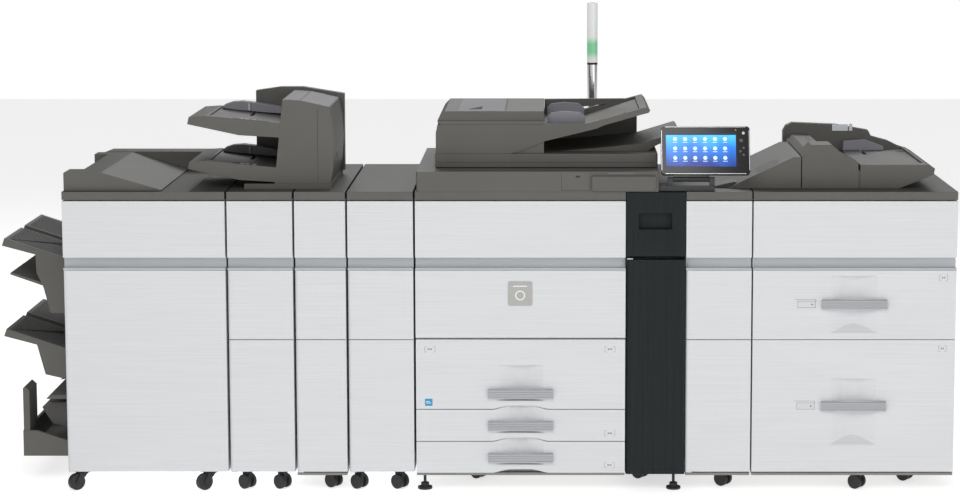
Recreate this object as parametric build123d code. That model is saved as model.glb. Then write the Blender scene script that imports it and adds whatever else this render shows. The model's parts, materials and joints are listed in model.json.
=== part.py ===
from build123d import *
import math
import os

# A long production photocopier. Millimetres. X runs left to right along the front, Z is up, and
# every depth is measured back from the plane of the doors. The origin is under the middle of it.

# Module widths, left to right, and the gaps between them.
FINISHER_W = 552.0
FOLDER_W = 222.0
DECURLER_W = 173.0
RELAY_W = 223.0
ENGINE_W = 716.0
TOWER_W = 202.0
SIDE_W = 223.0
SUPPLY_W = 693.0
MODULE_GAP = 7.0
TOWER_GAP = 2.0
SUPPLY_GAP = 5.0
TRAY_REACH = 236.0

# Depths.
CABINET_DEPTH = 775.0
DOOR_T = 26.0
DOOR_CLEAR = 2.0
HANDLE_PROUD = 14.0
WALL = 8.0
SHEET = 3.7
REAR_COVER_T = 12.0
SERVICE_PANEL_DEPTH = 70.0
SERVICE_PANEL_T = 4.0
MAST_BEHIND = 25.0
DOCK_DEPTH = 330.0

# Heights.
PLINTH_Z = 57.0
SHELL_Z = 66.0
DOOR_Z0 = 70.0
SPLIT_Z = 532.0
DOOR_Z1 = 770.0
CHANNEL_Z = 774.0
CHANNEL_LIP = 3.0
COVER_Z = 814.0
COVER_TOP = 1008.0
SLAB_Z = 1012.0
TOP_Z = 1040.0
SEAM = 2.5
GROOVE_DEPTH = 3.2
DOCK_LOW_Z = 180.0
DOCK_HIGH_Z = 860.0

# Hinges and running fits.
PIN_R = 4.0
PIN_LENGTH = 10.0
PIN_CLEAR = 0.05
BRACKET_T = 3.4
BRACKET_GAP = 0.3
RUN_CLEAR = 0.3
DROP_PIN_R = 3.0
DROP_BRACKET_T = 4.0
DROP_BRACKET_INSET = 30.0

# Paper drawers of the engine and of the supply unit.
DRAWER_3_Z = 66.0
DRAWER_2_Z = 177.5
DRAWER_1_Z = 289.5
SUPPLY_2_Z = 70.0
BUMP_RISE = 12.0
BUMP_TOP_W = 85.0
BUMP_W = 185.0
HANDLE_W = 222.0
HANDLE_H = 32.0
SCOOP_W = 194.0
SCOOP_DEPTH = 20.0
BOX_SHEET = 3.0
BOX_DEPTH = 600.0
BOX_SIDE_GAP = 4.0
BOX_TOP_GAP = 14.0
RUNNER_H = 6.0
RUNNER_W = 20.0
BUTTON_W = 60.0
BUTTON_H = 22.0
BUTTON_T = 6.0
BUTTON_TRAVEL = 2.0

# Signal mast.
POLE_R = 18.5
LAMP_R = 19.5
POLE_Z0 = 940.0
POLE_TOP = 1417.0
MAST_TOP = 1640.0

os.makedirs("parts", exist_ok=True)

SYSTEM_LENGTH = (TRAY_REACH + FINISHER_W + FOLDER_W + DECURLER_W + RELAY_W + ENGINE_W + TOWER_W
                 + SIDE_W + SUPPLY_W + 4 * MODULE_GAP + 2 * TOWER_GAP + SUPPLY_GAP)
MAST_DEPTH = CABINET_DEPTH + MAST_BEHIND
FRONT_Y = -(MAST_DEPTH + LAMP_R - HANDLE_PROUD) / 2
SHELL_FRONT = DOOR_T + DOOR_CLEAR
SHELL_BACK = CABINET_DEPTH - REAR_COVER_T

MODULES = {}
edge = TRAY_REACH - SYSTEM_LENGTH / 2
for module, width, gap in (("finisher", FINISHER_W, MODULE_GAP),
                           ("folder", FOLDER_W, MODULE_GAP),
                           ("decurler", DECURLER_W, MODULE_GAP),
                           ("relay", RELAY_W, MODULE_GAP),
                           ("engine", ENGINE_W, TOWER_GAP),
                           ("tower", TOWER_W, TOWER_GAP),
                           ("side", SIDE_W, SUPPLY_GAP),
                           ("supply", SUPPLY_W, 0.0)):
    MODULES[module] = (edge, edge + width)
    edge += width + gap
WHITE_MODULES = ("finisher", "folder", "decurler", "relay", "engine", "side", "supply")

FINISHER_X0, FINISHER_X1 = MODULES["finisher"]
FOLDER_X0, FOLDER_X1 = MODULES["folder"]
DECURLER_X1 = MODULES["decurler"][1]
ENGINE_X0, ENGINE_X1 = MODULES["engine"]
TOWER_X0, TOWER_X1 = MODULES["tower"]
SIDE_X0, SIDE_X1 = MODULES["side"]
SUPPLY_X0, SUPPLY_X1 = MODULES["supply"]


# ---- drawing helpers: every piece is placed by x, depth and z ----

def block(x0, x1, d0, d1, z0, z1):
    """A box between two corners."""
    middle = Pos((x0 + x1) / 2, FRONT_Y + (d0 + d1) / 2, (z0 + z1) / 2)
    return middle * Box(x1 - x0, d1 - d0, z1 - z0)


def prism_depth(outline, d0, d1):
    """An (x, z) outline drawn back from depth d0 to depth d1."""
    line = Polyline(*[(x, FRONT_Y + d0, z) for x, z in outline], close=True)
    return extrude(make_face(line), amount=d1 - d0, dir=(0, 1, 0))


def prism_x(outline, x0, x1):
    """A (depth, z) outline drawn across from x0 to x1."""
    line = Polyline(*[(x0, FRONT_Y + d, z) for d, z in outline], close=True)
    return extrude(make_face(line), amount=x1 - x0, dir=(1, 0, 0))


def post(x, depth, radius, z0, z1):
    """An upright cylinder."""
    return Pos(x, FRONT_Y + depth, (z0 + z1) / 2) * Cylinder(radius, z1 - z0)


def rod_x(depth, z, radius, x0, x1):
    """A cylinder along X."""
    return Pos((x0 + x1) / 2, FRONT_Y + depth, z) * Rot(0, 90, 0) * Cylinder(radius, x1 - x0)


def rod_depth(x, z, radius, d0, d1):
    """A cylinder along the depth."""
    return Pos(x, FRONT_Y + (d0 + d1) / 2, z) * Rot(90, 0, 0) * Cylinder(radius, d1 - d0)


def save(node, pieces):
    """Write one node: each piece stays a separate solid."""
    solids = [solid for piece in pieces for solid in piece.solids()]
    shape = solids[0] if len(solids) == 1 else Compound(solids)
    export_step(shape, f"parts/{node}.step")


# ---- cabinets, plinths, covers ----

def shell(module, z0, z1):
    """A sheet cabinet open to the front, with a back wall."""
    x0, x1 = MODULES[module]
    outer = block(x0, x1, SHELL_FRONT, SHELL_BACK, z0, z1)
    inner = block(x0 + WALL, x1 - WALL, SHELL_FRONT - 1, SHELL_BACK - SHEET, z0 + SHEET, z1 - SHEET)
    return outer - inner


def service_panel(module, z0, z1):
    """The inner panel that closes a cabinet behind its door."""
    x0, x1 = MODULES[module]
    return block(x0 + WALL, x1 - WALL, SERVICE_PANEL_DEPTH, SERVICE_PANEL_DEPTH + SERVICE_PANEL_T, z0, z1)


def deck(module, z):
    """A level sheet inside a cabinet."""
    x0, x1 = MODULES[module]
    return block(x0 + WALL, x1 - WALL, SHELL_FRONT, SHELL_BACK - SHEET, z, z + SHEET)


def runners(module, deck_z):
    """The two ledges that a drawer box slides on."""
    x0, x1 = MODULES[module]
    z0 = deck_z + SHEET
    left = block(x0 + WALL, x0 + WALL + RUNNER_W, SHELL_FRONT, SHELL_BACK - SHEET, z0, z0 + RUNNER_H)
    right = block(x1 - WALL - RUNNER_W, x1 - WALL, SHELL_FRONT, SHELL_BACK - SHEET, z0, z0 + RUNNER_H)
    return left + right


def docking_plates():
    """The plates that hook neighbouring modules together, low and high, across each gap."""
    names = list(MODULES)
    plates = []
    for left, right in zip(names, names[1:]):
        x0 = MODULES[left][1]
        x1 = MODULES[right][0]
        for z in (DOCK_LOW_Z, DOCK_HIGH_Z):
            plates.append(block(x0, x1, DOCK_DEPTH, DOCK_DEPTH + 120, z, z + 60))
    return plates


DRUM_X = (ENGINE_X0 + ENGINE_X1) / 2
DRUM_Z = 668.0
DRUM_R = 55.0
SHAFT_R = 6.0
FUSER_X = DRUM_X - 210.0
FUSER_Z = 655.0
FUSER_R = 25.0
REAR_PLATE_DEPTH = 640.0
BOTTLE_Z = 925.0
BOTTLE_R = 55.0


def build_cabinets():
    panel_z0 = SHELL_Z + SHEET
    panel_z1 = SLAB_Z - SHEET
    save("finisher_cabinet", [shell("finisher", SHELL_Z, SLAB_Z)] + tray_rails())
    transport = [shell(name, SHELL_Z, SLAB_Z) for name in ("folder", "decurler", "relay")]
    save("transport_cabinets", transport + docking_plates())

    engine = shell("engine", SHELL_Z, SLAB_Z)
    for z in (DRAWER_2_Z, DRAWER_1_Z, SPLIT_Z):
        engine += deck("engine", z)
    for z in (SHELL_Z, DRAWER_2_Z, DRAWER_1_Z):
        engine += runners("engine", z)
    engine += block(ENGINE_X0 + WALL, ENGINE_X1 - WALL, SHELL_FRONT, SHELL_FRONT + WALL,
                    SPLIT_Z + SHEET, SPLIT_Z + SHEET + DOOR_T)
    tower = shell("tower", PLINTH_Z, TOP_Z)
    tower += block(TOWER_X0 + WALL, TOWER_X1 - WALL, SHELL_FRONT, SHELL_FRONT + WALL,
                   COVER_Z - SHEET, COVER_Z + DOOR_T)
    save("engine_cabinet", [engine, tower, shell("side", SHELL_Z, SLAB_Z)])

    supply = shell("supply", SHELL_Z, SLAB_Z) + deck("supply", SPLIT_Z) + deck("supply", CHANNEL_Z)
    supply += runners("supply", SHELL_Z) + runners("supply", SPLIT_Z)
    save("supply_cabinet", [supply])

    engine_panel = service_panel("engine", SPLIT_Z + SHEET, panel_z1)
    rear_plate = block(ENGINE_X0 + WALL, ENGINE_X1 - WALL, REAR_PLATE_DEPTH,
                       REAR_PLATE_DEPTH + SERVICE_PANEL_T, SPLIT_Z + SHEET, panel_z1)
    for x, z in ((DRUM_X, DRUM_Z), (FUSER_X, FUSER_Z), (FUSER_X, FUSER_Z + 2 * FUSER_R + 1)):
        bore = rod_depth(x, z, SHAFT_R + PIN_CLEAR, SERVICE_PANEL_DEPTH - 1, REAR_PLATE_DEPTH + 10)
        engine_panel -= bore
        rear_plate -= bore
    bottle_x = (TOWER_X0 + TOWER_X1) / 2
    tower_panel = service_panel("tower", PLINTH_Z + SHEET, TOP_Z - SHEET)
    tower_panel -= rod_depth(bottle_x, BOTTLE_Z, BOTTLE_R + RUN_CLEAR,
                             SERVICE_PANEL_DEPTH - 1, SERVICE_PANEL_DEPTH + 10)
    tower_plate = block(TOWER_X0 + WALL, TOWER_X1 - WALL, REAR_PLATE_DEPTH,
                        REAR_PLATE_DEPTH + SERVICE_PANEL_T, BOTTLE_Z - 80, TOP_Z - SHEET)
    tower_plate -= rod_depth(bottle_x, BOTTLE_Z, SHAFT_R + PIN_CLEAR,
                             REAR_PLATE_DEPTH - 1, REAR_PLATE_DEPTH + 10)
    panels = [service_panel(name, panel_z0, panel_z1)
              for name in ("finisher", "folder", "decurler", "relay", "side")]
    save("service_panels", panels + [engine_panel, rear_plate, tower_panel, tower_plate])


def roller(x, z, radius, d0, d1):
    """A roller whose shaft ends lie in the front and rear plates."""
    barrel = rod_depth(x, z, radius, d0, d1)
    front = SERVICE_PANEL_DEPTH + SERVICE_PANEL_T / 2
    return barrel + rod_depth(x, z, SHAFT_R, front, REAR_PLATE_DEPTH + SERVICE_PANEL_T / 2)


def build_engine_internals():
    save("imaging_drum", [roller(DRUM_X, DRUM_Z, DRUM_R, 110, 610)])
    save("fuser_pressure_roller", [roller(FUSER_X, FUSER_Z, FUSER_R, 110, 610)])
    save("fuser_heat_roller", [roller(FUSER_X, FUSER_Z + 2 * FUSER_R + 1, FUSER_R, 110, 610)])
    bottle_x = (TOWER_X0 + TOWER_X1) / 2
    bottle = rod_depth(bottle_x, BOTTLE_Z, BOTTLE_R, SHELL_FRONT + 10, 520)
    bottle += rod_depth(bottle_x, BOTTLE_Z, 30, 520, 560)
    bottle += rod_depth(bottle_x, BOTTLE_Z, SHAFT_R, 560, REAR_PLATE_DEPTH + SERVICE_PANEL_T / 2)
    save("toner_bottle", [bottle])


def build_covers():
    slabs = []
    covers = []
    channels = []
    rears = []
    for name in WHITE_MODULES:
        x0, x1 = MODULES[name]
        slab = block(x0, x1, 0, CABINET_DEPTH, SLAB_Z, TOP_Z)
        if name == "finisher":
            slab -= block(x1 - 115, x1 - 113, 12, CABINET_DEPTH + 1, TOP_Z - 2, TOP_Z + 1)
        if name == "side":
            slab -= block(x0 + 54, x0 + 56, 12, 120, TOP_Z - 2, TOP_Z + 1)
        slabs.append(slab)
        covers.append(block(x0, x1, 0, SHELL_FRONT, COVER_Z, COVER_TOP))
        channel = block(x0, x1, 2, SHELL_FRONT, CHANNEL_Z - CHANNEL_LIP, COVER_Z - SEAM / 2)
        channel -= block(x0 - 1, x1 + 1, 1, SHELL_FRONT - SHEET, CHANNEL_Z + SHEET, COVER_Z)
        channel -= block(x0 + 1, x0 + 25, 3.5, SHELL_FRONT + 1, CHANNEL_Z - CHANNEL_LIP - 1, CHANNEL_Z)
        channels.append(channel)
        rears.append(block(x0, x1, SHELL_BACK, CABINET_DEPTH, SHELL_Z, SLAB_Z))
    rears.append(block(TOWER_X0, TOWER_X1, SHELL_BACK, CABINET_DEPTH, PLINTH_Z, TOP_Z))
    save("worktops", slabs)
    save("upper_covers", covers)
    save("grip_channels", channels)

    inlet_x = ENGINE_X0 + 120
    inlet = block(inlet_x - 28, inlet_x + 28, CABINET_DEPTH - 8, CABINET_DEPTH + 4, 120, 170)
    inlet -= block(inlet_x - 14, inlet_x + 14, CABINET_DEPTH - 6, CABINET_DEPTH + 5, 135, 155)
    for side in (-8, 0, 8):
        inlet += block(inlet_x + side - 1.5, inlet_x + side + 1.5, CABINET_DEPTH - 6, CABINET_DEPTH - 2,
                       142, 148)
    engine_rear = WHITE_MODULES.index("engine")
    rears[engine_rear] -= block(inlet_x - 28, inlet_x + 28, CABINET_DEPTH - 8, CABINET_DEPTH + 5, 120, 170)
    save("rear_covers", rears + [inlet])

    plinths = []
    for name in ("decurler", "engine", "side", "supply"):
        x0, x1 = MODULES[name]
        plinths.append(block(x0 + 1, x1 - 1, 3, CABINET_DEPTH, PLINTH_Z, SHELL_Z))
    save("plinths", plinths)


# ---- doors ----

PIVOT = DOOR_T / 2


def side_door(x0, x1, z0, z1, groove_z=None):
    """A door hinged at its left edge, which is rounded about the pivot; its back is a shallow pan."""
    door = block(x0 + PIVOT, x1, 0, DOOR_T, z0, z1) + post(x0 + PIVOT, PIVOT, PIVOT, z0, z1)
    door -= block(x0 + DOOR_T + 6, x1 - 12, 5, DOOR_T + 1, z0 + 14, z1 - 14)
    if groove_z:
        door -= block(x0 - 1, x1 + 1, -1, GROOVE_DEPTH, groove_z - SEAM / 2, groove_z + SEAM / 2)
    hole_r = PIN_R + PIN_CLEAR
    door -= post(x0 + PIVOT, PIVOT, hole_r, z0 - 1, z0 + PIN_LENGTH + 2)
    door -= post(x0 + PIVOT, PIVOT, hole_r, z1 - PIN_LENGTH - 2, z1 + 1)
    return door


def side_pivots(x0, z0, z1):
    """The lower and upper brackets of a side-hinged door, each with its pin."""
    x = x0 + PIVOT
    lower = block(x - 10, x + 10, 4, SHELL_FRONT, z0 - BRACKET_GAP - BRACKET_T, z0 - BRACKET_GAP)
    lower += post(x, PIVOT, PIN_R, z0 - BRACKET_GAP, z0 + PIN_LENGTH)
    upper = block(x - 10, x + 10, 4, SHELL_FRONT, z1 + BRACKET_GAP, z1 + BRACKET_GAP + BRACKET_T)
    upper += post(x, PIVOT, PIN_R, z1 - PIN_LENGTH, z1 + BRACKET_GAP)
    return [lower, upper]


def drop_door(x0, x1, z0, z1):
    """A cover hinged along its lower edge; notches in its back leave room for the brackets."""
    door = block(x0, x1, 0, DOOR_T, z0 + PIVOT, z1) + rod_x(PIVOT, z0 + PIVOT, PIVOT, x0, x1)
    door -= block(x0 + 12, x1 - 12, 5, DOOR_T + 1, z0 + DOOR_T + 10, z1 - 14)
    for x in drop_bracket_places(x0, x1):
        door -= block(x - 0.5, x + DROP_BRACKET_T + 0.5, 5.5, DOOR_T + 1, z0 - 1, z0 + PIVOT + 8)
        door -= rod_x(PIVOT, z0 + PIVOT, DROP_PIN_R + PIN_CLEAR, x - PIN_LENGTH - 1,
                      x + DROP_BRACKET_T + PIN_LENGTH + 1)
    return door


def drop_bracket_places(x0, x1):
    return (x0 + DROP_BRACKET_INSET, x1 - DROP_BRACKET_INSET - DROP_BRACKET_T)


def drop_pivots(x0, x1, z0):
    """The two arms that carry a drop-down cover, each with a cross pin."""
    z = z0 + PIVOT
    arms = []
    for x in drop_bracket_places(x0, x1):
        arm = block(x, x + DROP_BRACKET_T, PIVOT, SHELL_FRONT, z - 6, z + 6)
        arm += rod_x(PIVOT, z, 6, x, x + DROP_BRACKET_T)
        arm += rod_x(PIVOT, z, DROP_PIN_R, x - PIN_LENGTH, x + DROP_BRACKET_T + PIN_LENGTH)
        arms.append(arm)
    return arms


ENGINE_COVER_Z = SPLIT_Z + SEAM / 2
HATCH_Z = COVER_Z
HATCH_TOP = TOP_Z - 2
TOWER_DOOR_Z0 = PLINTH_Z + BRACKET_T + 2 * BRACKET_GAP
TOWER_DOOR_Z1 = COVER_Z - BRACKET_T - 3 * BRACKET_GAP - SEAM


def build_doors():
    pivots = []
    for name in ("finisher", "folder", "decurler", "relay", "side"):
        x0, x1 = MODULES[name]
        groove_z = None if name == "finisher" else SPLIT_Z - SEAM / 2
        save(name + "_door", [side_door(x0, x1, DOOR_Z0, DOOR_Z1, groove_z)])
        pivots += side_pivots(x0, DOOR_Z0, DOOR_Z1)

    tower_door = side_door(TOWER_X0, TOWER_X1, TOWER_DOOR_Z0, TOWER_DOOR_Z1)
    save("tower_door", [tower_door])
    pivots += side_pivots(TOWER_X0, TOWER_DOOR_Z0, TOWER_DOOR_Z1)

    save("engine_cover", [drop_door(ENGINE_X0, ENGINE_X1, ENGINE_COVER_Z, DOOR_Z1)])
    pivots += drop_pivots(ENGINE_X0, ENGINE_X1, ENGINE_COVER_Z)

    hatch = drop_door(TOWER_X0, TOWER_X1, HATCH_Z, HATCH_TOP)
    grip_x0 = TOWER_X0 + 42
    hatch += block(grip_x0 - 4, grip_x0 + 117, 4, DOOR_T, 907, 971)
    hatch -= block(grip_x0, grip_x0 + 113, -1, DOOR_T - 4, 911, 967)
    save("toner_hatch", [hatch])
    pivots += drop_pivots(TOWER_X0, TOWER_X1, HATCH_Z)
    save("door_pivots", pivots)


# ---- paper drawers ----

def bump(x, z, rise):
    """The low hump in the seam under a handle, as a solid that stands on the seam line."""
    half = BUMP_W / 2
    top = BUMP_TOP_W / 2
    y = FRONT_Y - 1
    curve = FilletPolyline((x - half - 40, y, z), (x - half, y, z), (x - top, y, z + rise),
                           (x + top, y, z + rise), (x + half, y, z), (x + half + 40, y, z), radius=45)
    base = Polyline((x + half + 40, y, z), (x + half + 40, y, z - 1), (x - half - 40, y, z - 1),
                    (x - half - 40, y, z))
    return extrude(make_face([curve, base]), amount=DOOR_T + 2, dir=(0, 1, 0))


def scoop(x, z0, z1, sloped_floor):
    """The finger hollow behind a handle: an upright valley with soft sides and a level top."""
    half = SCOOP_W / 2
    y = FRONT_Y - 1
    across = [u / 4 for u in range(-4, 5)]
    points = [(x + half * u, y + (SCOOP_DEPTH + 1) * math.cos(math.pi * u / 2) ** 2, z0) for u in across]
    floor = Spline(*points, tangents=((1, 0, 0), (1, 0, 0)))
    front = Line(points[-1], points[0])
    valley = extrude(make_face([floor, front]), amount=z1 - z0, dir=(0, 0, 1))
    if sloped_floor:
        ramp = prism_x([(-1, z0), (SCOOP_DEPTH + 2, z0), (SCOOP_DEPTH + 2, z0 + 34), (0, z0 + 1), (-1, z0 + 1)],
                       x - half - 3, x + half + 3)
        valley -= ramp
    return valley


def handle(x, z):
    """A ribbed bar bridging the scoop, hollow behind for the fingers."""
    bar = block(x - HANDLE_W / 2, x + HANDLE_W / 2, -HANDLE_PROUD, 0, z - HANDLE_H / 2, z + HANDLE_H / 2)
    bar = fillet(bar.edges().filter_by(Axis.X).group_by(Axis.Y)[0], 3)
    bar -= block(x - SCOOP_W / 2 + 6, x + SCOOP_W / 2 - 6, -HANDLE_PROUD + 6, 1,
                 z - HANDLE_H / 2 - 1, z + HANDLE_H / 2 + 1)
    for rib_z in (z - HANDLE_H / 4, z, z + HANDLE_H / 4):
        bar -= block(x - HANDLE_W / 2 - 1, x + HANDLE_W / 2 + 1, -HANDLE_PROUD - 1, -HANDLE_PROUD + 1.4,
                     rib_z - 0.9, rib_z + 0.9)
    return bar


def drawer_front(module, z0, z1, scoop_z0, scoop_z1, top_hump, foot_hump, sloped_floor):
    """A drawer's front plate, with the humps of its seams and its scoop."""
    x0, x1 = MODULES[module]
    x = (x0 + x1) / 2
    front = block(x0 + 0.5, x1 - 0.5, 0, DOOR_T, z0, z1)
    if top_hump:
        front += bump(x, z1, BUMP_RISE) & block(x0, x1, 0, DOOR_T, z1 - 0.5, z1 + BUMP_RISE + 1)
    if foot_hump:
        front -= bump(x, z0, BUMP_RISE)
    return front - scoop(x, scoop_z0, scoop_z1, sloped_floor)


def drawer_box(module, deck_z, z1):
    """An open paper box that runs on the two ledges of its bay."""
    x0, x1 = MODULES[module]
    x0 += WALL + BOX_SIDE_GAP
    x1 -= WALL + BOX_SIDE_GAP
    z0 = deck_z + SHEET + RUNNER_H + RUN_CLEAR
    top = z1 - BOX_TOP_GAP
    box = block(x0, x1, DOOR_T, DOOR_T + BOX_DEPTH, z0, top)
    return box - block(x0 + BOX_SHEET, x1 - BOX_SHEET, DOOR_T + BOX_SHEET,
                       DOOR_T + BOX_DEPTH - BOX_SHEET, z0 + BOX_SHEET, top + 1)


def release_button(x, z):
    """The push button beside a supply drawer's handle; its plunger runs in the front plate."""
    cap = block(x - BUTTON_W / 2, x + BUTTON_W / 2, -0.5, BUTTON_T - 2.5, z - BUTTON_H / 2, z + BUTTON_H / 2)
    return cap + rod_depth(x, z, 4, BUTTON_T - 2.5, 14)


def release_button_well(x, z):
    """The pocket and bore that a release button moves in."""
    pocket = block(x - BUTTON_W / 2 - RUN_CLEAR, x + BUTTON_W / 2 + RUN_CLEAR, -1, BUTTON_T,
                   z - BUTTON_H / 2 - RUN_CLEAR, z + BUTTON_H / 2 + RUN_CLEAR)
    return pocket + rod_depth(x, z, 4 + PIN_CLEAR, BUTTON_T - 1, 17)


# Node name, module, deck height, front from and to, scoop from and to, handle height, humps, ramp.
DRAWERS = (
    ("drawer_3", "engine", SHELL_Z, DRAWER_3_Z, DRAWER_2_Z - SEAM, 95.0, DRAWER_2_Z + BUMP_RISE + 5,
     119.0, True, True, False),
    ("drawer_2", "engine", DRAWER_2_Z, DRAWER_2_Z, DRAWER_1_Z - SEAM, 206.0, DRAWER_1_Z + BUMP_RISE + 5,
     231.0, True, True, False),
    ("drawer_1", "engine", DRAWER_1_Z, DRAWER_1_Z, SPLIT_Z - SEAM / 2, 318.0, 442.0,
     343.0, False, True, False),
    ("supply_drawer_2", "supply", SHELL_Z, SUPPLY_2_Z, SPLIT_Z - SEAM, 164.0, 396.0,
     300.0, False, False, True),
    ("supply_drawer_1", "supply", SPLIT_Z, SPLIT_Z, DOOR_Z1, 553.0, 752.0,
     653.0, False, False, True),
)


def build_drawers():
    for name, module, deck_z, z0, z1, scoop_z0, scoop_z1, handle_z, top_hump, foot_hump, ramp in DRAWERS:
        x = sum(MODULES[module]) / 2
        front = drawer_front(module, z0, z1, scoop_z0, scoop_z1, top_hump, foot_hump, ramp)
        if module == "supply":
            button_x = x - HANDLE_W / 2 - 22 - BUTTON_W / 2
            front -= release_button_well(button_x, handle_z)
            save(name.replace("drawer", "button"), [release_button(button_x, handle_z)])
        save(name, [front, handle(x, handle_z), drawer_box(module, deck_z, z1)])


# ---- feet and casters ----

CASTER_R = 28.0
CASTER_DEPTH = 44.0
CASTER_TRAIL = 24.0
SWIVEL_TURN = 130.0
FIXED_TURN = 52.0
SMALL_WHEEL_R = 25.0
FORK_T = 4.0
WHEEL_W = 22.0


def turned(x, depth, angle, shape):
    """Turn a caster about its upright stem."""
    stem = Pos(x, FRONT_Y + depth, 0)
    return stem * Rot(0, 0, angle) * stem.inverse() * shape


def fixed_caster(x, depth, top):
    """A twin-wheel furniture caster, turned aside: hood, stem plate and two wheels."""
    hood = block(x - 8, x + 8, depth - 16, depth + 16, SMALL_WHEEL_R, top)
    hood += rod_x(depth, SMALL_WHEEL_R, 14, x - 8, x + 8)
    wheels = [rod_x(depth, SMALL_WHEEL_R, SMALL_WHEEL_R, x + 8, x + 20),
              rod_x(depth, SMALL_WHEEL_R, SMALL_WHEEL_R, x - 20, x - 8)]
    return [turned(x, depth, FIXED_TURN, piece) for piece in [hood] + wheels]


def foot(x, depth, top):
    """A levelling foot: disc and threaded stem."""
    return post(x, depth, 25, 0, 8) + post(x, depth, 14, 8, 22) + post(x, depth, 5, 22, top)


SWIVEL_PLACES = (("left", FINISHER_X0 + 42.0), ("right", FINISHER_X1 - 69.0))
FORK_TOP = SHELL_Z - 4 - RUN_CLEAR


def build_feet():
    casters = []
    for name, x in SWIVEL_PLACES:
        plate = block(x - 32, x + 32, SHELL_FRONT, SHELL_FRONT + 64, SHELL_Z - 4, SHELL_Z)
        casters.append(plate - post(x, CASTER_DEPTH, 5 + PIN_CLEAR, SHELL_Z - 5, SHELL_Z + 1))

        fork = post(x, CASTER_DEPTH, 24, FORK_TOP - FORK_T, FORK_TOP)
        fork += post(x, CASTER_DEPTH, 5, FORK_TOP, SHELL_Z - RUN_CLEAR)
        axle_depth = CASTER_DEPTH + CASTER_TRAIL
        for side in (-1, 1):
            inner = x + side * (WHEEL_W / 2 + 1)
            outer = inner + side * FORK_T
            cheek = prism_x([(CASTER_DEPTH - 14, FORK_TOP - FORK_T), (CASTER_DEPTH + 17, FORK_TOP - FORK_T),
                             (axle_depth + 9, CASTER_R), (axle_depth, CASTER_R - 9),
                             (axle_depth - 9, CASTER_R)], min(inner, outer), max(inner, outer))
            fork += cheek
        half = WHEEL_W / 2 + 1 + FORK_T
        fork -= rod_x(axle_depth, CASTER_R, 4 + PIN_CLEAR, x - half - 1, x + half + 1)
        save(f"caster_{name}_fork", [turned(x, CASTER_DEPTH, SWIVEL_TURN, fork)])

        wheel = rod_x(axle_depth, CASTER_R, CASTER_R, x - WHEEL_W / 2, x + WHEEL_W / 2)
        wheel += rod_x(axle_depth, CASTER_R, 4, x - half, x + half)
        save(f"caster_{name}_wheel", [turned(x, CASTER_DEPTH, SWIVEL_TURN, wheel)])

    rear = CABINET_DEPTH - 90
    for x in (FINISHER_X0 + 42.0, FINISHER_X1 - 69.0):
        casters += fixed_caster(x, rear, SHELL_Z)
    for x, front, top in ((FOLDER_X0 + 51, 52, SHELL_Z), (FOLDER_X1 - 49, 52, SHELL_Z),
                          (DECURLER_X1 - 54, 70, PLINTH_Z),
                          (MODULES["relay"][0] + 30, 52, SHELL_Z), (MODULES["relay"][1] - 53, 52, SHELL_Z),
                          (ENGINE_X0 + 208, 190, PLINTH_Z), (ENGINE_X1 + 60, 190, PLINTH_Z),
                          (SIDE_X1 - 85, 90, PLINTH_Z),
                          (SUPPLY_X0 + 370, 52, PLINTH_Z), (SUPPLY_X1 - 140, 160, PLINTH_Z)):
        casters += fixed_caster(x, front, top) + fixed_caster(x, rear, top)
    save("fixed_casters", casters)

    feet = []
    for x, top in ((ENGINE_X0 + 27, PLINTH_Z), (TOWER_X1 - 35, PLINTH_Z)):
        feet += [foot(x, 45, top), foot(x, CABINET_DEPTH - 50, top)]
    save("levelling_feet", feet)


# ---- signal mast ----

MAST_X = (ENGINE_X0 + ENGINE_X1) / 2 + 258.0


def build_mast():
    bracket = block(MAST_X - 30, MAST_X + 30, CABINET_DEPTH, MAST_DEPTH, POLE_Z0, POLE_Z0 + 60)
    bracket -= post(MAST_X, MAST_DEPTH, POLE_R + PIN_CLEAR, POLE_Z0 - 1, POLE_Z0 + 61)
    save("mast_pole", [bracket, post(MAST_X, MAST_DEPTH, POLE_R, POLE_Z0, POLE_TOP)])
    lamp = post(MAST_X, MAST_DEPTH, LAMP_R, POLE_TOP, MAST_TOP)
    save("mast_lamp", [fillet(lamp.edges().filter_by(GeomType.CIRCLE).group_by(Axis.Z)[-1], 4)])


# ---- scanner and document feeder ----

SCANNER_X0 = ENGINE_X0 + 5.0
SCANNER_X1 = TOWER_X1 - 91.0
SCANNER_DEPTH = 700.0
SCANNER_TOP = 1109.0
SCANNER_SHEET = 4.0
GLASS_X0 = SCANNER_X0 + 70.0
GLASS_L = 470.0
GLASS_D0 = 150.0
GLASS_W = 330.0
GLASS_T = 4.0
RAIL_R = 5.0
RAIL_Z = TOP_Z + 18.0
CARRIAGE_W = 40.0
CARRIAGE_X0 = GLASS_X0 + 10.0

LID_X0 = SCANNER_X0 + 60.0
LID_X1 = SCANNER_X1 - 1.0
LID_D0 = 100.0
LID_D1 = 640.0
LID_Z = SCANNER_TOP + 3.0
LID_TOP = SCANNER_TOP + 49.0
LID_HINGE_DEPTH = 655.0
LID_HINGE_Z = SCANNER_TOP + 10.0
LID_EAR_R = 9.0
FEEDER_X0 = LID_X0 + 2.0
FEEDER_X1 = FEEDER_X0 + 371.0
FEEDER_D0 = 105.0
COVER_SPLIT_Z = LID_TOP + 100.0
FEEDER_TOP = LID_TOP + 144.0
COVER_T = 5.0
ROLLER_X = FEEDER_X0 + 200.0
ROLLER_Z = LID_TOP + 77.0
TRAY_ROOT_X = FEEDER_X1 + 7.0
TRAY_TIP_X = LID_X1 - 32.0
TRAY_BED_Z = LID_TOP + 100.0
GUIDE_X0 = TRAY_ROOT_X + 4.0
GUIDE_X1 = GUIDE_X0 + 132.0
GUIDE_TRAVEL = 70.0


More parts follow.
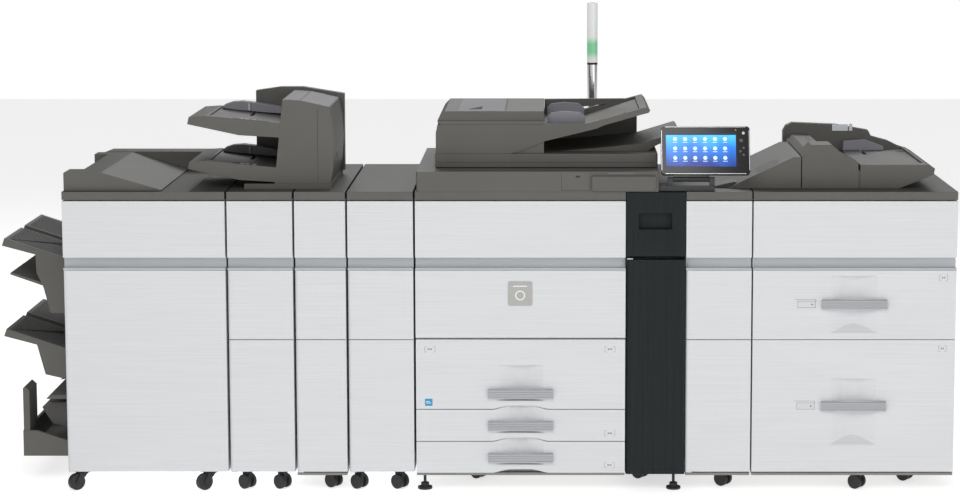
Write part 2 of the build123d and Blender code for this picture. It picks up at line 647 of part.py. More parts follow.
def build_scanner():
    base = block(SCANNER_X0, SCANNER_X1, 0, SCANNER_DEPTH, TOP_Z, SCANNER_TOP)
    base = fillet(base.edges().filter_by(Axis.Z), 8)
    glass_x1 = GLASS_X0 + GLASS_L
    glass_d1 = GLASS_D0 + GLASS_W
    base -= block(GLASS_X0 - 20, glass_x1 + 20, GLASS_D0 - 40, glass_d1 + 40, TOP_Z + SCANNER_SHEET,
                  SCANNER_TOP - SCANNER_SHEET - GLASS_T)
    base -= block(GLASS_X0 + 8, glass_x1 - 8, GLASS_D0 + 8, glass_d1 - 8, SCANNER_TOP - 20, SCANNER_TOP + 1)
    base -= block(GLASS_X0, glass_x1, GLASS_D0, glass_d1, SCANNER_TOP - GLASS_T, SCANNER_TOP + 1)
    rails = [rod_x(depth, RAIL_Z, RAIL_R, GLASS_X0 - 20, glass_x1 + 20)
             for depth in (GLASS_D0 + 10, glass_d1 - 10)]
    hinges = []
    for x in lid_hinge_places():
        knuckle = block(x - 24, x, LID_HINGE_DEPTH - 7, SCANNER_DEPTH - 4, SCANNER_TOP, LID_HINGE_Z + 8)
        hinges.append(knuckle + rod_x(LID_HINGE_DEPTH, LID_HINGE_Z, PIN_R, x, x + 15))
    save("scanner_base", [base] + rails + hinges)
    save("platen_glass", [block(GLASS_X0, glass_x1, GLASS_D0, glass_d1, SCANNER_TOP - GLASS_T, SCANNER_TOP)])

    carriage = block(CARRIAGE_X0, CARRIAGE_X0 + CARRIAGE_W, GLASS_D0 - 5, glass_d1 + 5, RAIL_Z - 8, RAIL_Z + 22)
    for depth in (GLASS_D0 + 10, glass_d1 - 10):
        carriage -= rod_x(depth, RAIL_Z, RAIL_R + PIN_CLEAR, CARRIAGE_X0 - 1, CARRIAGE_X0 + CARRIAGE_W + 1)
    carriage -= block(CARRIAGE_X0 + 14, CARRIAGE_X0 + CARRIAGE_W - 14, GLASS_D0 + 25, glass_d1 - 25,
                      RAIL_Z + 14, RAIL_Z + 23)
    save("scan_carriage", [carriage])


def lid_hinge_places():
    return (LID_X0 + 90.0, LID_X1 - 140.0)


def lid_rear_chamfer(x0, x1):
    """The sloped rear top edge that clears the mast as the lid opens."""
    return prism_x([(LID_D1 + 1, COVER_SPLIT_Z + 4), (LID_D1 + 1, FEEDER_TOP + 20),
                    (LID_D1 - 40, FEEDER_TOP + 20), (LID_D1 - 40, FEEDER_TOP)], x0, x1)


def build_lid():
    lid = block(LID_X0, LID_X1, LID_D0, LID_D1, LID_Z, LID_TOP)
    lid = fillet(lid.edges().filter_by(Axis.Z), 6)
    lid -= block(LID_X0 + 8, LID_X1 - 8, LID_D0 + 8, LID_D1 - 8, LID_Z - 1, LID_Z + 12)
    lid -= block(LID_X0 - 1, LID_X1 + 1, LID_D0 - 1, LID_D0 + 2, LID_Z + 15, LID_Z + 17)
    for x in lid_hinge_places():
        ear = block(x + 0.5, x + 14, LID_D1 - 1, LID_HINGE_DEPTH, LID_Z, LID_HINGE_Z + LID_EAR_R)
        ear += rod_x(LID_HINGE_DEPTH, LID_HINGE_Z, LID_EAR_R, x + 0.5, x + 14)
        lid += ear - rod_x(LID_HINGE_DEPTH, LID_HINGE_Z, PIN_R + PIN_CLEAR, x - 1, x + 16)
    pad = block(LID_X0 + 8, LID_X1 - 8, LID_D0 + 8, LID_D1 - 8, LID_Z + 6, LID_Z + 12)

    rise = LID_X1 + 78
    exit_tray = prism_depth([(FEEDER_X1 + 60, LID_TOP), (FEEDER_X1 + 170, LID_TOP + 8),
                             (LID_X1 - 60, LID_TOP + 24), (rise, LID_TOP + 66), (rise + 6, LID_TOP + 60),
                             (LID_X1 - 10, LID_TOP + 14), (LID_X1 - 30, LID_TOP)], 190, 560)
    save("document_lid", [lid, pad, exit_tray])

    body = prism_depth([(FEEDER_X0, LID_TOP), (FEEDER_X0, LID_TOP + 70), (FEEDER_X0 + 6, COVER_SPLIT_Z),
                        (FEEDER_X1, COVER_SPLIT_Z), (FEEDER_X1, LID_TOP + 42), (FEEDER_X0 + 322, LID_TOP + 22),
                        (FEEDER_X0 + 286, LID_TOP + 8), (FEEDER_X0 + 255, LID_TOP)], FEEDER_D0, LID_D1)
    body += block(FEEDER_X0 + 200, FEEDER_X1, FEEDER_D0 + 6, LID_D1, LID_TOP, LID_TOP + 44)
    body -= block(FEEDER_X0 + 40, FEEDER_X1 - 30, 150, 600, LID_TOP + 50, COVER_SPLIT_Z + 1)
    body -= rod_depth(ROLLER_X, ROLLER_Z, PIN_R + PIN_CLEAR, 130, 620)
    body -= lid_rear_chamfer(FEEDER_X0 - 1, FEEDER_X1 + 1)
    rear_wall = prism_depth([(FEEDER_X0 + 260, LID_TOP), (FEEDER_X0 + 260, LID_TOP + 15),
                             (FEEDER_X1, LID_TOP + 42), (TRAY_TIP_X - 178, LID_TOP + 86),
                             (TRAY_TIP_X - 151, LID_TOP + 98), (TRAY_TIP_X - 22, LID_TOP + 134),
                             (TRAY_TIP_X - 22, LID_TOP)], 575, LID_D1)
    body += rear_wall
    save("feeder_body", [body] + cover_lugs())
    roller_piece = rod_depth(ROLLER_X, ROLLER_Z, 16, 290, 410) + rod_depth(ROLLER_X, ROLLER_Z, PIN_R, 135, 615)
    save("feed_roller", [roller_piece])

    build_feeder_cover()
    build_document_tray()


COVER_END_R = 11.0
COVER_HINGE_X = FEEDER_X0 + 17.0
COVER_HINGE_Z = COVER_SPLIT_Z + 0.5 + COVER_END_R


def build_feeder_cover():
    """The jam cover over the feed path; it swings up about its left end, which is rounded."""
    z0 = COVER_SPLIT_Z + 0.5
    outline = [(COVER_HINGE_X, z0), (COVER_HINGE_X - COVER_END_R, COVER_HINGE_Z), (FEEDER_X0 + 10, z0 + 22),
               (FEEDER_X0 + 30, FEEDER_TOP), (FEEDER_X1, FEEDER_TOP), (FEEDER_X1, z0)]
    cover = prism_depth(outline, FEEDER_D0, LID_D1)
    cover += rod_depth(COVER_HINGE_X, COVER_HINGE_Z, COVER_END_R, FEEDER_D0 + 8, LID_D1)
    cover -= prism_x([(FEEDER_D0 - 1, z0 + 12), (FEEDER_D0 - 1, FEEDER_TOP + 1), (FEEDER_D0 + 24, FEEDER_TOP + 1),
                      (FEEDER_D0 + 20, FEEDER_TOP), (FEEDER_D0 + 6, z0 + 14)], FEEDER_X0 - 1, FEEDER_X1 + 1)
    cover -= block(FEEDER_X0 + 44, FEEDER_X1 - COVER_T, FEEDER_D0 + 34, LID_D1 - 50, z0 - 1, FEEDER_TOP - COVER_T)
    cover -= lid_rear_chamfer(FEEDER_X0 - 1, FEEDER_X1 + 1)
    cover -= block(FEEDER_X0 + 95, FEEDER_X0 + 135, 200, 300, FEEDER_TOP - 3, FEEDER_TOP + 1)
    for d0, d1 in ((LID_D1 - 42, LID_D1 - 12), (FEEDER_D0 + 26, FEEDER_D0 + 34)):
        cover -= block(COVER_HINGE_X - COVER_END_R - 1, COVER_HINGE_X + COVER_END_R, d0, d1, z0 - 1,
                       COVER_HINGE_Z + COVER_END_R)
    cover -= rod_depth(COVER_HINGE_X, COVER_HINGE_Z, PIN_R + PIN_CLEAR, FEEDER_D0 + 20, LID_D1 - 7)
    save("feeder_cover", [cover])


def cover_lugs():
    """The two lugs on the feeder's body that carry the jam cover's pins."""
    lugs = []
    for d0, d1, pin_d0, pin_d1 in ((LID_D1 - 40, LID_D1 - 14, LID_D1 - 50, LID_D1 - 14),
                                   (FEEDER_D0 + 27, FEEDER_D0 + 33, FEEDER_D0 + 27, FEEDER_D0 + 43)):
        lug = block(COVER_HINGE_X - 6, COVER_HINGE_X + 6, d0, d1, COVER_SPLIT_Z, COVER_HINGE_Z)
        lug += rod_depth(COVER_HINGE_X, COVER_HINGE_Z, 6, d0, d1)
        lugs.append(lug + rod_depth(COVER_HINGE_X, COVER_HINGE_Z, PIN_R, pin_d0, pin_d1))
    return lugs


def build_document_tray():
    """The rising input tray right of the feeder, with its two side guides."""
    z = TRAY_BED_Z
    under = [(TRAY_TIP_X, z + 40), (TRAY_TIP_X - 24, z + 34), (TRAY_TIP_X - 151, z - 2),
             (TRAY_TIP_X - 178, z - 14), (FEEDER_X1, z - 58)]
    tray = prism_depth([(FEEDER_X1, z + 4), (TRAY_ROOT_X + 142, z + 4), (TRAY_TIP_X - 6, z + 60),
                        (TRAY_TIP_X + 6, z + 48)] + under, FEEDER_D0, LID_D1)
    bed = prism_depth([(FEEDER_X1 - 1, z - 8), (TRAY_ROOT_X + 142, z - 8), (TRAY_TIP_X - 30, z + 44),
                       (TRAY_TIP_X - 30, z + 90), (FEEDER_X1 - 1, z + 90)], FEEDER_D0 + 24, LID_D1 - 60)
    tray -= bed
    tray += prism_depth([(FEEDER_X1 + 1, z), (FEEDER_X1 + 1, z + 43), (TRAY_TIP_X - 40, z + 45),
                         (TRAY_TIP_X - 40, z + 36)], LID_D1 - 60, LID_D1)
    tray -= lid_rear_chamfer(FEEDER_X1 - 1, TRAY_TIP_X + 20)
    for depth in (220.0, 470.0):
        tray -= block(GUIDE_X0 + 40, GUIDE_X0 + 52, depth - 60, depth + 60, z - 14, z)
    save("document_tray", [tray])

    for name, depth, side in (("front", 172.0, 1), ("rear", 500.0, -1)):
        foot_z = z - 8 + RUN_CLEAR
        guide = prism_depth([(GUIDE_X0, foot_z), (GUIDE_X0, z + 22), (GUIDE_X0 + 14, z + 34),
                             (GUIDE_X0 + 60, z + 40), (GUIDE_X0 + 112, z + 36), (GUIDE_X1, z + 20),
                             (GUIDE_X1, foot_z)], depth - 7, depth + 7)
        guide += block(GUIDE_X0 + 8, GUIDE_X1 - 8, min(depth, depth + side * 46), max(depth, depth + side * 46),
                       foot_z, foot_z + 3)
        guide += block(GUIDE_X0 + 40.3, GUIDE_X0 + 51.7, depth - 6, depth + 6, z - 13, foot_z)
        save(f"document_guide_{name}", [guide])


# ---- control panel ----

PANEL_X0 = 632.0 - 715.5 + TOWER_X1
PANEL_W = 303.0
PANEL_H = 168.0
PANEL_T = 20.0
PANEL_LEAN = 20.0
PANEL_HINGE_DEPTH = 24.0
PANEL_HINGE_Z = 1080.0
BARREL_R = 9.0
SCREEN_W = 240.0
SCREEN_H = 120.0


def leaned(shape):
    """Lean an upright panel piece back about the hinge barrel."""
    pivot = Pos(0, FRONT_Y + PANEL_HINGE_DEPTH, PANEL_HINGE_Z)
    return pivot * Rot(-PANEL_LEAN, 0, 0) * pivot.inverse() * shape


def build_panel():
    arm_x0 = SCANNER_X1 - 228.0
    arm_x1 = SCANNER_X1 - 11.0
    arm = block(arm_x0, arm_x1, -10, 0, TOP_Z + 4, TOP_Z + 54)
    arm = fillet(arm.edges().filter_by(Axis.Y).group_by(Axis.Z)[0].sort_by(Axis.X)[-1], 16)
    neck_x0 = PANEL_X0 + 22
    neck_x1 = PANEL_X0 + 182
    neck = block(SCANNER_X1, neck_x1, 12, 92, TOP_Z, TOP_Z + 20)
    for x0, x1 in ((neck_x0, neck_x0 + 18), (neck_x1 - 18, neck_x1)):
        ear = block(x0, x1, PANEL_HINGE_DEPTH - 8, PANEL_HINGE_DEPTH + 8, TOP_Z + 20, PANEL_HINGE_Z)
        ear += rod_x(PANEL_HINGE_DEPTH, PANEL_HINGE_Z, 8, x0, x1)
        neck += ear
    neck += rod_x(PANEL_HINGE_DEPTH, PANEL_HINGE_Z, PIN_R, neck_x0 + 10, neck_x1 - 10)
    save("panel_arm", [arm, neck])

    z0 = PANEL_HINGE_Z + 14
    front = PANEL_HINGE_DEPTH - 14
    housing = block(PANEL_X0, PANEL_X0 + PANEL_W, front, front + PANEL_T, z0, z0 + PANEL_H)
    housing = fillet(housing.edges().filter_by(Axis.Y), 12)
    lug_x0 = neck_x0 + 18.5
    lug_x1 = neck_x1 - 18.5
    housing += block(lug_x0, lug_x1, PANEL_HINGE_DEPTH - 6, PANEL_HINGE_DEPTH + 6, PANEL_HINGE_Z, z0)
    housing += rod_x(PANEL_HINGE_DEPTH, PANEL_HINGE_Z, BARREL_R, lug_x0, lug_x1)
    housing -= rod_x(PANEL_HINGE_DEPTH, PANEL_HINGE_Z, PIN_R + PIN_CLEAR, lug_x0 - 1, lug_x1 + 1)
    screen_x0 = PANEL_X0 + 16
    screen_z0 = z0 + 26
    screen = block(screen_x0, screen_x0 + SCREEN_W, front, front + 4, screen_z0, screen_z0 + SCREEN_H)
    housing -= screen
    key_x = PANEL_X0 + PANEL_W - 22
    key_z = z0 + PANEL_H - 24
    key = rod_depth(key_x, key_z, 5, front - 1, front + 9)
    housing -= rod_depth(key_x, key_z, 5 + PIN_CLEAR, front - 2, front + 12)
    save("panel_housing", [leaned(housing), leaned(screen)])
    save("power_key", [leaned(key)])


# ---- finisher trays ----

TRAY_D0 = 120.0
TRAY_D1 = 700.0
CHEEK_T = 30.0
GUIDE_RAIL_W = 12.0
GUIDE_RAIL_OUT = 10.0
UPPER_TRAY_Z = 862.0
LOWER_TRAY_Z = 545.0
BOOKLET_Z = 95.0


def tray_rails():
    """Two upright rails on the finisher's left wall that the output trays ride on."""
    return [block(FINISHER_X0 - GUIDE_RAIL_OUT, FINISHER_X0, depth - GUIDE_RAIL_W / 2, depth + GUIDE_RAIL_W / 2,
                  LOWER_TRAY_Z - 195, UPPER_TRAY_Z + 60) for depth in (TRAY_D0 + 80, TRAY_D1 - 80)]


def rail_slots():
    """The room that an output tray leaves around the two rails."""
    return [block(FINISHER_X0 - GUIDE_RAIL_OUT - RUN_CLEAR, FINISHER_X0 + 1,
                  depth - GUIDE_RAIL_W / 2 - RUN_CLEAR, depth + GUIDE_RAIL_W / 2 + RUN_CLEAR,
                  LOWER_TRAY_Z - 300, UPPER_TRAY_Z + 200) for depth in (TRAY_D0 + 80, TRAY_D1 - 80)]


def output_tray(z, cheek, second_tray):
    """A sloped catch tray on two cheeks, with a long groove down its middle; z is its outer rim."""
    wall = FINISHER_X0 - 0.5
    tip = FINISHER_X0 - TRAY_REACH
    tray = prism_depth([(tip, z - 26), (tip + 9, z), (wall, z - 75), (wall, z - 100), (tip + 112, z - 56)],
                       TRAY_D0, TRAY_D1)
    middle = (TRAY_D0 + TRAY_D1) / 2
    tray -= prism_depth([(tip - 1, z + 10), (tip - 1, z - 9), (tip + 9, z - 12), (wall - 2, z - 87),
                         (wall - 2, z)],
                        middle - 34, middle + 22)
    for d0 in (TRAY_D0, TRAY_D1 - CHEEK_T):
        tray += prism_depth([(wall - u, cheek_z) for u, cheek_z in cheek], d0, d0 + CHEEK_T)
    if second_tray:
        tray += prism_depth([(wall - 212, z - 128), (wall - 208, z - 120), (wall, z - 190), (wall, z - 202)],
                            TRAY_D0 + 10, TRAY_D1 - 10)
    for slot in rail_slots():
        tray -= slot
    return tray


def build_finisher_outputs():
    x0 = FINISHER_X0 + 4
    wedge = prism_depth([(x0, TOP_Z), (x0, TOP_Z + 63), (x0 + 128, TOP_Z + 63), (x0 + 333, TOP_Z + 4),
                         (x0 + 333, TOP_Z)], 18, 620)
    wedge -= block(x0 - 1, x0 + 50, 122, 553, TOP_Z + 10, TOP_Z + 64)
    rear = prism_depth([(x0, TOP_Z), (x0, TOP_Z + 49), (x0 + 40, TOP_Z + 65), (FINISHER_X1 - 4, TOP_Z + 65),
                        (FINISHER_X1 - 4, TOP_Z)], 620, 715)
    save("proof_tray", [wedge, rear])

    z = UPPER_TRAY_Z
    upper = [(120, z - 52), (0, z - 90), (0, z - 262), (72, z - 262), (95, z - 172), (118, z - 120)]
    save("upper_output_tray", [output_tray(z, upper, True)])
    z = LOWER_TRAY_Z
    lower = [(124, z - 50), (0, z - 88), (0, z - 183), (95, z - 161)]
    save("lower_output_tray", [output_tray(z, lower, False)])

    wall = FINISHER_X0
    z = BOOKLET_Z
    trough = prism_depth([(wall - 178, z), (wall - 178, z + 90), (wall - 130, z + 90), (wall - 24, z + 55),
                          (wall, z + 55), (wall, z)], 120, 640)
    trough -= block(wall - 168, wall - 10, 132, 628, z + 10, z + 100)
    stop = prism_depth([(wall - 176, z + 90), (wall - 176, z + 240), (wall - 170, z + 246), (wall - 154, z + 232),
                        (wall - 154, z + 90)], 122, 240)
    trough += stop + block(wall - 178, wall - 154, 122, 240, z + 80, z + 91)
    slope = prism_depth([(wall - 128, z + 155), (wall - 108, z + 172), (wall, z + 172), (wall, z + 78),
                         (wall - 92, z + 96)], 200, 560)
    flap = prism_depth([(wall - 98, z + 200), (wall - 86, z + 213), (wall, z + 215), (wall, z + 200)], 130, 600)
    blade = prism_depth([(wall - 68, z + 246), (wall - 62, z + 252), (wall, z + 268), (wall, z + 258)], 230, 540)
    save("booklet_tray", [trough, slope, flap, blade])


# ---- sheet inserter on the transport modules ----

INSERTER_X1 = DECURLER_X1 - 56.0
INSERTER_W = 191.0
INSERTER_D0 = 80.0
INSERTER_D1 = 463.0
INSERTER_BASE_T = 17.0
INSERTER_H = 300.0
INSERTER_TRAY_L = 306.0
INSERTER_TRAYS_Z = (("lower", TOP_Z + 72.0), ("upper", TOP_Z + 226.0))
INSERTER_GUIDE_TRAVEL = 120.0


def inserter_tray(root_x, z):
    """A boat-shaped feed tray whose bed is sunk below its rim; z is the rim at the tower."""
    tip = root_x - INSERTER_TRAY_L
    tray = prism_depth([(tip, z - 4), (tip + 5, z + 20), (tip + 60, z + 24), (root_x + 12, z),
                        (root_x + 12, z - 50), (root_x - 130, z - 42), (tip + 90, z - 24)],
                       INSERTER_D0, INSERTER_D1)
    tray -= prism_depth([(tip + 70, z + 18), (root_x + 13, z - 10), (root_x + 13, z + 40), (tip + 70, z + 40)],
                        INSERTER_D0 + 30, INSERTER_D1 - 12)
    return tray


def build_inserter():
    z0 = TOP_Z + INSERTER_BASE_T
    z1 = TOP_Z + INSERTER_H
    left = INSERTER_X1 - INSERTER_W
    plate = block(left - 103, INSERTER_X1 + 5, INSERTER_D0 - 6, 500, TOP_Z, z0)
    tower = prism_depth([(left, z0), (left + 30, z1 + 6), (left + 90, z1 + 2), (INSERTER_X1, z1 - 20),
                         (INSERTER_X1 + 10, z1 - 80), (INSERTER_X1 + 14, z1 - 150),
                         (INSERTER_X1 + 10, z0 + 50), (INSERTER_X1, z0)], INSERTER_D0, INSERTER_D1)
    upright = prism_depth([(left - 109, z0), (left - 109, z1 + 3), (left - 20, z1 + 16), (left + 60, z1 + 16),
                           (INSERTER_X1 + 15, z1 - 8), (INSERTER_X1 + 15, z0)], INSERTER_D1, 500)
    pieces = [plate, tower, upright]
    for name, z in INSERTER_TRAYS_Z:
        tray = inserter_tray(left + 10, z) - tower
        bed_z = z - 10
        tray -= block(left - 110, left - 98, INSERTER_D1 - 60 - INSERTER_GUIDE_TRAVEL, INSERTER_D1 - 14,
                      bed_z - 14, bed_z + 30)
        pieces.append(tray)
        guide = prism_depth([(left - 222, bed_z + 30), (left - 214, bed_z + 42), (left - 188, bed_z + 51),
                             (left - 150, bed_z + 54), (left - 100, bed_z + 48), (left - 12, bed_z + 33),
                             (left - 12, bed_z + 10), (left - 60, bed_z + 13), (left - 180, bed_z + 24)],
                            INSERTER_D1 - 60, INSERTER_D1 - 16)
        guide += block(left - 109.7, left - 98.3, INSERTER_D1 - 46, INSERTER_D1 - 26, bed_z - 12, bed_z + 24)
        save(f"inserter_{name}_guide", [guide])
    save("sheet_inserter", pieces)


# ---- bypass feeder on the supply unit ----

BYPASS_X0 = SUPPLY_X0 - 85.0
BYPASS_D0 = 89.0
BYPASS_D1 = 640.0
BYPASS_GUIDE_TRAVEL = 110.0


def build_bypass():
    x0 = BYPASS_X0
    z = TOP_Z
    ramp = prism_depth([(x0, z), (x0 + 228, z + 108), (x0 + 254, z + 108), (x0 + 254, z)], BYPASS_D0, 560)
    ramp += prism_depth([(x0 - 44, z), (x0 - 40, z + 5), (x0 + 24, z + 20), (x0 + 44, z + 18), (x0 + 44, z)],
                        BYPASS_D0 + 20, BYPASS_D0 + 110)
    body = prism_depth([(x0 + 257, z), (x0 + 257, z + 110), (x0 + 289, z + 150), (x0 + 358, z + 150),
                        (x0 + 397, z + 116), (x0 + 450, z + 89), (x0 + 450, z)], BYPASS_D0, 200)
    low = prism_depth([(x0 + 257, z), (x0 + 257, z + 110), (x0 + 275, z + 130), (x0 + 340, z + 128),
                       (x0 + 390, z + 78), (x0 + 450, z + 70), (x0 + 450, z)], 200, BYPASS_D1)
    fence = prism_depth([(x0 + 247, z), (x0 + 247, z + 138), (x0 + 258, z + 158), (x0 + 280, z + 169),
                         (x0 + 441, z + 162), (x0 + 558, z + 141), (x0 + 570, z + 119), (x0 + 632, z + 102),
                         (x0 + 668, z + 84), (x0 + 704, z + 72), (x0 + 704, z + 50), (x0 + 600, z)],
                        BYPASS_D1, 679)
    tray = prism_depth([(x0 + 457, z), (x0 + 457, z + 81), (x0 + 690, z + 81), (x0 + 713, z + 68),
                        (x0 + 708, z + 47), (x0 + 592, z)], BYPASS_D0, BYPASS_D1)
    tray -= block(x0 + 456, x0 + 680, BYPASS_D0 + 60, BYPASS_D1 - 10, z + 72, z + 82)
    tray -= block(x0 + 520, x0 + 532, BYPASS_D1 - 60 - BYPASS_GUIDE_TRAVEL, BYPASS_D1 - 20, z + 60, z + 73)
    link = block(x0 + 450, x0 + 457, BYPASS_D0 + 4, BYPASS_D1, z, z + 60)
    save("bypass_feeder", [ramp, body + low, fence, link + tray])

    guide_z = z + 72 + RUN_CLEAR
    guide = prism_depth([(x0 + 462, guide_z), (x0 + 462, guide_z + 34), (x0 + 540, guide_z + 40),
                         (x0 + 610, guide_z + 14), (x0 + 610, guide_z)], BYPASS_D1 - 44, BYPASS_D1 - 32)
    guide += block(x0 + 520.3, x0 + 531.7, BYPASS_D1 - 44, BYPASS_D1 - 32, z + 61, guide_z)
    save("bypass_guide", [guide])


build_cabinets()
build_engine_internals()
build_covers()
build_doors()
build_drawers()
build_feet()
build_mast()
build_scanner()
build_lid()
build_panel()
build_finisher_outputs()
build_inserter()
build_bypass()
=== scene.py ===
import json
import math

import bmesh
import bpy
from mathutils import Matrix, Vector
from mathutils.bvhtree import BVHTree

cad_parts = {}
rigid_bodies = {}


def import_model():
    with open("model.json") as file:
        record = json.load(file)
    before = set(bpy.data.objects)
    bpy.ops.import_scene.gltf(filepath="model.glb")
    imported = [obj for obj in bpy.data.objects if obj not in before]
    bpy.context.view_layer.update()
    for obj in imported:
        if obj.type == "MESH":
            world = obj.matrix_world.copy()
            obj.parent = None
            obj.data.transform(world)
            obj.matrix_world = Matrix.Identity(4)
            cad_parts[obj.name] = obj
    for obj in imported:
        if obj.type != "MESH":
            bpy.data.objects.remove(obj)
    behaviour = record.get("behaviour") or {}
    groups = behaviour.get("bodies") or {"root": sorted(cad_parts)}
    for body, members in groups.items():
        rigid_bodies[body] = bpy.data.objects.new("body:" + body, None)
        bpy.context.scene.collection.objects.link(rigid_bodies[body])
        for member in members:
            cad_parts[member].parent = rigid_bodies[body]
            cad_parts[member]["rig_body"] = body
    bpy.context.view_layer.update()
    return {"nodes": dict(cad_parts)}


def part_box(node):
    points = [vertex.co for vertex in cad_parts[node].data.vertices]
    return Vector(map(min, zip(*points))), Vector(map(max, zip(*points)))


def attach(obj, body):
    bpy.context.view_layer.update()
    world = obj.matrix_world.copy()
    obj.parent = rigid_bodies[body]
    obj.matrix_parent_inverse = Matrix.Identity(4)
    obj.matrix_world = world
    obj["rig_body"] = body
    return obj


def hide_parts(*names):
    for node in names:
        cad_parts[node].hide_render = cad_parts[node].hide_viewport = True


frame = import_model()
nodes = frame["nodes"]


# ---- Studio ----
# A pale floor, a large soft light over the front, weaker ones from the right and from low in front, and one
# from behind.
# The camera stands above eye level in front of the engine, a little left of the touch panel.
front_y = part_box("finisher_door")[0].y
engine_lo, engine_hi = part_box("engine_cover")
engine_x = (engine_lo.x + engine_hi.x) / 2

camera_data = bpy.data.cameras.new("camera")
camera_data.lens = 85.5
camera_data.shift_x = -0.073
camera_data.shift_y = -0.1185
camera_data.clip_end = 60
camera = bpy.data.objects.new("camera", camera_data)
camera.location = (engine_x + 0.101, front_y - 7.66, 2.077)
camera.rotation_euler = (math.radians(90 - 6.3), 0, 0)
bpy.context.scene.collection.objects.link(camera)
bpy.context.scene.camera = camera


def soft_light(name, place, aim, size, power, colour=(1.0, 1.0, 1.0)):
    light = bpy.data.lights.new(name, "AREA")
    light.shape = "RECTANGLE"
    light.size, light.size_y = size
    light.energy = power
    light.color = colour
    lamp = bpy.data.objects.new(name, light)
    lamp.location = place
    lamp.rotation_euler = (Vector(aim) - Vector(place)).to_track_quat("-Z", "Y").to_euler()
    bpy.context.scene.collection.objects.link(lamp)


soft_light("key_light", (-1.2, -5.5, 4.6), (0, 0, 0.6), (5.0, 3.0), 150)
soft_light("fill_light", (3.8, -5.0, 2.0), (0.4, 0, 0.7), (3.0, 3.0), 45)
soft_light("front_light", (0.2, -7.5, 1.0), (0, 0, 0.7), (6.0, 2.0), 18)
soft_light("back_light", (0.5, 4.5, 4.0), (0, 0, 0.8), (5.0, 2.5), 90)

world = bpy.data.worlds.new("studio")
world.use_nodes = True
world_tree = world.node_tree
world_tree.nodes["Background"].inputs["Color"].default_value = (1, 1, 1, 1)
seen = world_tree.nodes.new("ShaderNodeLightPath")
sky = world_tree.nodes.new("ShaderNodeMapRange")
sky.inputs["To Min"].default_value = 0.26
sky.inputs["To Max"].default_value = 1.0
world_tree.links.new(seen.outputs["Is Camera Ray"], sky.inputs["Value"])
world_tree.links.new(sky.outputs["Result"], world_tree.nodes["Background"].inputs["Strength"])
bpy.context.scene.world = world
bpy.context.scene.view_settings.view_transform = "Standard"


def plain_material(name, colour, roughness):
    """A principled material of one colour; the maker of each finish adds its own detail."""
    material = bpy.data.materials.new(name)
    material.use_nodes = True
    shader = material.node_tree.nodes["Principled BSDF"]
    shader.inputs["Base Color"].default_value = (*colour, 1)
    shader.inputs["Roughness"].default_value = roughness
    return material


def mesh_object(name, verts, faces, material):
    """A plain mesh at the origin with its place in its points."""
    mesh = bpy.data.meshes.new(name)
    mesh.from_pydata([tuple(v) for v in verts], [], faces)
    mesh.materials.append(material)
    piece = bpy.data.objects.new(name, mesh)
    bpy.context.scene.collection.objects.link(piece)
    return piece


studio_floor = plain_material("studio_floor", (0.93, 0.93, 0.93), 0.8)
studio_floor.node_tree.nodes["Principled BSDF"].inputs["Emission Color"].default_value = (1, 1, 1, 1)
studio_floor.node_tree.nodes["Principled BSDF"].inputs["Emission Strength"].default_value = 0.62
floor = mesh_object("floor", [(-14, -14, 0), (14, -14, 0), (14, 14, 0), (-14, 14, 0)], [(0, 1, 2, 3)],
                    studio_floor)


# ---- White sheet covers ----
# The doors, upper covers, drawer fronts and cabinet sides are powder-coated sheet and moulded skins,
# all with a fine level grain. Their edges are rolled to about a millimetre.
def streak_group():
    """Fine stretched streaks, for brushed and grained skins."""
    group = bpy.data.node_groups.new("fine_streaks", "ShaderNodeTree")
    group.interface.new_socket("Vector", in_out="INPUT", socket_type="NodeSocketVector")
    group.interface.new_socket("Stretch", in_out="INPUT", socket_type="NodeSocketVector")
    group.interface.new_socket("Streak", in_out="OUTPUT", socket_type="NodeSocketFloat")
    group.interface.new_socket("Tone", in_out="OUTPUT", socket_type="NodeSocketFloat")
    made = group.nodes
    entry = made.new("NodeGroupInput")
    leave = made.new("NodeGroupOutput")
    scale = made.new("ShaderNodeVectorMath")
    scale.operation = "MULTIPLY"
    noise = made.new("ShaderNodeTexNoise")
    noise.inputs["Scale"].default_value = 1.0
    noise.inputs["Detail"].default_value = 5.0
    noise.inputs["Roughness"].default_value = 0.7
    spread = made.new("ShaderNodeMapRange")
    spread.inputs["From Min"].default_value = 0.33
    spread.inputs["From Max"].default_value = 0.67
    broad = made.new("ShaderNodeTexNoise")
    broad.inputs["Scale"].default_value = 1.7
    group.links.new(entry.outputs["Vector"], scale.inputs[0])
    group.links.new(entry.outputs["Stretch"], scale.inputs[1])
    group.links.new(scale.outputs["Vector"], noise.inputs["Vector"])
    group.links.new(noise.outputs["Fac"], spread.inputs["Value"])
    group.links.new(entry.outputs["Vector"], broad.inputs["Vector"])
    group.links.new(spread.outputs["Result"], leave.inputs["Streak"])
    group.links.new(broad.outputs["Fac"], leave.inputs["Tone"])
    return group


fine_streaks = streak_group()


